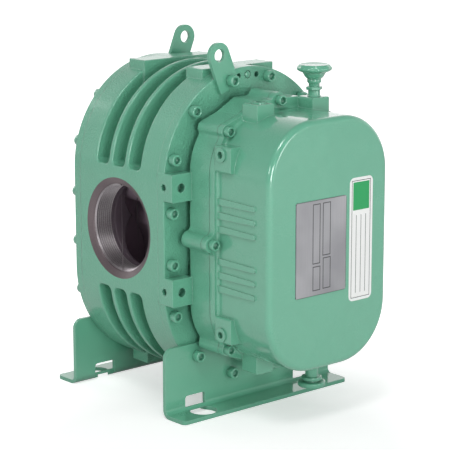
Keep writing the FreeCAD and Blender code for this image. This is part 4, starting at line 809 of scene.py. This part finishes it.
def turn_piece(name, spot, rings, sides=56):
    """A round piece built ring by ring, each ring a radius and a height above the spot."""
    bpy.ops.object.select_all(action="DESELECT")
    first_radius, first_height = rings[0]
    bpy.ops.mesh.primitive_circle_add(
        vertices=sides, radius=first_radius, fill_type="NGON",
        location=spot + Vector((0, 0, first_height)))
    piece = bpy.context.object
    piece.name = name
    bpy.ops.object.transform_apply(location=True, rotation=True, scale=True)
    bpy.ops.object.mode_set(mode="EDIT")
    bpy.ops.mesh.select_mode(type="FACE")
    bpy.ops.mesh.select_all(action="SELECT")
    last_radius, last_height = first_radius, first_height
    for radius, height in rings[1:]:
        bpy.ops.mesh.extrude_region()
        bpy.ops.transform.translate(value=(0, 0, height - last_height))
        growth = radius / last_radius
        bpy.ops.transform.resize(value=(growth, growth, 1), center_override=spot)
        last_radius, last_height = radius, height
    bpy.ops.mesh.select_all(action="SELECT")
    bpy.ops.mesh.remove_doubles(threshold=merge_distance)
    bpy.ops.mesh.normals_make_consistent(inside=False)
    bpy.context.scene.cursor.location = spot + sorting_offset
    bpy.ops.mesh.sort_elements(type="CURSOR_DISTANCE", elements={"FACE"})
    bpy.ops.object.mode_set(mode="OBJECT")
    return piece


def fit_piece(piece, node):
    """Shade and paint a turned piece, and fit it to the casing in place of its node."""
    bpy.ops.object.select_all(action="DESELECT")
    bpy.context.view_layer.objects.active = piece
    piece.select_set(True)
    bpy.ops.object.shade_smooth_by_angle(angle=math.radians(40))
    piece.data.materials.append(steel_paint)
    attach(piece, "casing")
    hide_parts(node)
    piece.select_set(False)


turned_body = turn_piece("breather_turned_body", breather_spot, [
    (0.0082, 0.0000), (0.0082, 0.0004), (0.0073, 0.0013), (0.0072, 0.0075), (0.0066, 0.0080),
    (0.0066, 0.0150), (0.0069, 0.0158), (0.0082, 0.0170), (0.0085, 0.0175), (0.0085, 0.0212),
    (0.0082, 0.0216), (0.0093, 0.0219), (0.0101, 0.0226), (0.0116, 0.0243), (0.0127, 0.0262),
    (0.0133, 0.0276), (0.0138, 0.0279), (0.0138, 0.0288),
])
fit_piece(turned_body, "breather_body")

lock_nut = turn_piece("breather_lock_nut", breather_spot, [
    (0.0092, 0.0080), (0.0099, 0.0084), (0.0099, 0.0116), (0.0092, 0.0120)], sides=6)
fit_piece(lock_nut, "breather_lock_ring")

cap_lobes = 11
lobe_steps = 8
cap_widest = 0.0213
rim_starts = 0.0186
scalloped_cap = turn_piece("breather_scalloped_cap", breather_spot, [
    (0.0138, 0.0288), (0.0150, 0.0292), (0.0185, 0.0306), (0.0205, 0.0320), (0.0212, 0.0330),
    (cap_widest, 0.0338), (0.0212, 0.0350), (0.0204, 0.0362), (0.0193, 0.0374), (0.0186, 0.0382),
    (0.0179, 0.0386), (0.0170, 0.0387), (0.0166, 0.0385),
], sides=cap_lobes * lobe_steps)


def rim_step(corner):
    """A rim corner's step round its lobe, counted from the hollow; None inside the rim."""
    outwards = corner.co - breather_spot
    if math.hypot(outwards.x, outwards.y) <= rim_starts:
        return None
    turns = math.atan2(outwards.y, outwards.x) / (2 * math.pi)
    return round(turns * cap_lobes * lobe_steps) % lobe_steps


for step, pull in ((0, 0.965), (1, 0.985), (lobe_steps - 1, 0.985)):
    edit_only(scalloped_cap, "VERT", lambda corner: rim_step(corner) == step)
    bpy.ops.transform.resize(value=(pull, pull, 1), center_override=breather_spot)
    bpy.ops.object.mode_set(mode="OBJECT")
fit_piece(scalloped_cap, "breather_cap")


# Drain
# Under the cover's bottom boss hangs a turned drain: a short neck, a ring and
# a wide thin hand nut below it, all enamelled over.
drain_low, drain_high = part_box("drain_fitting")
drain_rise = 0.003
drain_spot = Vector((
    (drain_low.x + drain_high.x) / 2, (drain_low.y + drain_high.y) / 2,
    drain_low.z + drain_rise))
drain_height = drain_high.z - drain_spot.z
turned_drain = turn_piece("drain_turned_fitting", drain_spot, [
    (0.0162, 0.0000), (0.0170, 0.0008), (0.0172, 0.0018), (0.0172, 0.0046), (0.0170, 0.0054),
    (0.0164, 0.0059), (0.0150, 0.0061), (0.0110, 0.0061), (0.0096, 0.0063), (0.0096, 0.0079),
    (0.0120, 0.0080), (0.0126, 0.0084), (0.0127, 0.0092), (0.0127, 0.0112), (0.0125, 0.0118),
    (0.0118, 0.0121), (0.0086, 0.0122), (0.0080, 0.0128), (0.0080, drain_height),
])
fit_piece(turned_drain, "drain_fitting")


# Gaskets and seals
# Joints are sealed with gasket paper, its edges sprayed over with the
# machine. Shafts run in black nitrile lip seals.
painted_paper = bare_metal(
    "oversprayed_gasket_paper", light=(0.085, 0.270, 0.180), dark=(0.050, 0.150, 0.100),
    roughness=0.55, mark_size=700.0, bump=0.0002, metallic=0.0)
rubber = bare_metal(
    "seal_rubber", light=(0.030, 0.030, 0.032), dark=(0.015, 0.015, 0.016),
    roughness=0.55, mark_size=800.0, bump=0.0001, metallic=0.0)
for name in ("cover_gasket", "bearing_cover_gasket"):
    finish_node(name, painted_paper)
for name in ("drive_shaft_seal", "gear_end_rotor_seals", "drive_end_rotor_seals"):
    finish_node(name, rubber)


# Nameplate
# A thin brushed aluminium plate on the cover, with four empty boxes for
# figures printed on it in dark line, two in each of two upright columns.
plate_low, plate_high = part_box("nameplate")
border_width = 0.0005
line_width = 0.0011
# Left, right, bottom and top of each printed box, and the width of its line.
plate_boxes = (
    (plate_low.x, plate_high.x, plate_low.z, plate_high.z, border_width),
    (-0.0280, -0.0158, 0.2001, 0.2717, line_width),
    (-0.0276, -0.0153, 0.1678, 0.1972, line_width),
    (-0.0120, 0.0008, 0.2084, 0.2718, line_width),
    (-0.0113, 0.0013, 0.1683, 0.2060, line_width),
)


def frame_group():
    """Mask of one printed rectangle, drawn as a thin outline."""
    group = new_group(
        "printed_frame",
        inputs=[("Left", 0.0), ("Right", 1.0), ("Bottom", 0.0), ("Top", 1.0), ("Line", line_width)],
        outputs=[("Ink", "Float"), ("Inside", "Float")])
    tree, links = group.nodes, group.links
    source, result = tree["Group Input"].outputs, tree["Group Output"].inputs
    across, _, up = own_place(tree, links)
    gaps = [
        calculate(tree, links, "SUBTRACT", across, source["Left"]),
        calculate(tree, links, "SUBTRACT", source["Right"], across),
        calculate(tree, links, "SUBTRACT", up, source["Bottom"]),
        calculate(tree, links, "SUBTRACT", source["Top"], up),
    ]
    nearest = gaps[0]
    for gap in gaps[1:]:
        nearest = calculate(tree, links, "MINIMUM", nearest, gap)
    inside = calculate(tree, links, "GREATER_THAN", nearest, 0.0)
    within_line = calculate(tree, links, "LESS_THAN", nearest, source["Line"])
    links.new(calculate(tree, links, "MULTIPLY", inside, within_line), result["Ink"])
    links.new(inside, result["Inside"])
    return group


printed_frame = frame_group()


def print_frame(tree, left, right, bottom, top, line=0.0):
    """Place one printed rectangle in a material."""
    return use_group(tree, printed_frame, {
        "Left": left, "Right": right, "Bottom": bottom, "Top": top, "Line": line})


def all_printed(tree, links, masks):
    """One mask of everything that several masks print."""
    printed = masks[0]
    for mask in masks[1:]:
        printed = calculate(tree, links, "MAXIMUM", printed, mask)
    return printed


def plate_finish():
    """Brushed aluminium with printed empty boxes and a slow sheen across it."""
    material, tree, links, shader = new_finish("brushed_plate")
    place = tree.new("ShaderNodeTexCoord").outputs["Object"]
    stretch = tree.new("ShaderNodeMapping")
    stretch.inputs["Scale"].default_value = (2600.0, 1.0, 26.0)
    links.new(place, stretch.inputs["Vector"])
    stroke = noise(tree, links, stretch.outputs["Vector"], fineness=1.0, detail=3.0)
    sheen = noise(tree, links, place, fineness=14.0, detail=2.0)
    metal = mix_colour(tree, links, stroke, (0.36, 0.36, 0.38), (0.52, 0.52, 0.54))
    tone = scaled(tree, links, sheen, low=0.0, high=0.7, start=0.35, end=0.65)
    toned = mix_colour(tree, links, tone, metal, (0.27, 0.27, 0.29))
    ink = all_printed(tree, links, [print_frame(tree, *box).outputs["Ink"] for box in plate_boxes])
    printed = mix_colour(tree, links, ink, toned, (0.06, 0.06, 0.065))
    links.new(printed, shader.inputs["Base Color"])
    links.new(scaled(tree, links, stroke, low=0.38, high=0.50), shader.inputs["Roughness"])
    links.new(scaled(tree, links, ink, low=0.45, high=0.0), shader.inputs["Metallic"])
    edge = use_edge(tree, radius=0.0003)
    relief = relief_of(
        tree, links, stroke, depth=0.00005, strength=0.4, normal=edge.outputs["Normal"])
    links.new(relief, shader.inputs["Normal"])
    return material


finish_node("nameplate", plate_finish())


# Cover label
# A white vinyl label with round corners beside the nameplate, bare but for a
# printed keyline, a green heading band and plain ruled lines.
label_left, label_right = 0.0325, 0.0708
label_bottom, label_top = 0.1443, 0.2945
label_corner = 0.0065
label_thick = 0.00012
keyline_inset = 0.0035
keyline_width = 0.0008
band_height = 0.036
band_gap = 0.0022
rule_width = 0.0008
rule_gap = 0.006
cover_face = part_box("gear_cover")[0].y
bpy.ops.mesh.primitive_cube_add(size=1, location=(
    (label_left + label_right) / 2, cover_face - label_thick / 2,
    (label_bottom + label_top) / 2))
label = bpy.context.object
label.name = "cover_label"
label.scale = (label_right - label_left, label_thick, label_top - label_bottom)
bpy.ops.object.transform_apply(location=True, rotation=True, scale=True)


def crosses_sheet(edge):
    """Whether an edge runs through the label's thickness, as its four corner edges do."""
    start, finish = (label.data.vertices[index].co for index in edge.vertices)
    return abs(start.y - finish.y) > label_thick / 2


edit_only(label, "EDGE", crosses_sheet)
bpy.ops.mesh.bevel(offset=label_corner, segments=8)
bpy.ops.object.mode_set(mode="OBJECT")


def label_finish():
    """White vinyl with a keyline, a green band and three ruled lines."""
    material, tree, links, shader = new_finish("printed_white_vinyl")
    left, right = label_left + keyline_inset, label_right - keyline_inset
    bottom, top = label_bottom + keyline_inset, label_top - keyline_inset
    band_low = top - band_height
    keyline = print_frame(tree, left, right, bottom, top, keyline_width).outputs["Ink"]
    band = print_frame(
        tree, left + band_gap, right - band_gap, band_low, top - band_gap).outputs["Inside"]
    spacing = (right - left) / 4
    rules = []
    for step in (1, 2, 3):
        middle = left + step * spacing
        rules.append(print_frame(
            tree, middle - rule_width / 2, middle + rule_width / 2,
            bottom + rule_gap, band_low - rule_gap).outputs["Inside"])
    dark = all_printed(tree, links, [keyline, *rules])
    place = tree.new("ShaderNodeTexCoord").outputs["Object"]
    grain = noise(tree, links, place, fineness=900.0, detail=2.0)
    sheet = mix_colour(tree, links, grain, (0.90, 0.91, 0.90), (0.84, 0.86, 0.85))
    banded = mix_colour(tree, links, band, sheet, (0.010, 0.36, 0.105))
    printed = mix_colour(tree, links, dark, banded, (0.03, 0.035, 0.03))
    links.new(printed, shader.inputs["Base Color"])
    links.new(scaled(tree, links, grain, low=0.28, high=0.40), shader.inputs["Roughness"])
    relief = relief_of(tree, links, grain, depth=0.00004, strength=0.4)
    links.new(relief, shader.inputs["Normal"])
    shader.inputs["Coat Weight"].default_value = 0.3
    shader.inputs["Coat Roughness"].default_value = 0.1
    return material


label.data.materials.append(label_finish())
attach(label, "casing")
label.select_set(False)
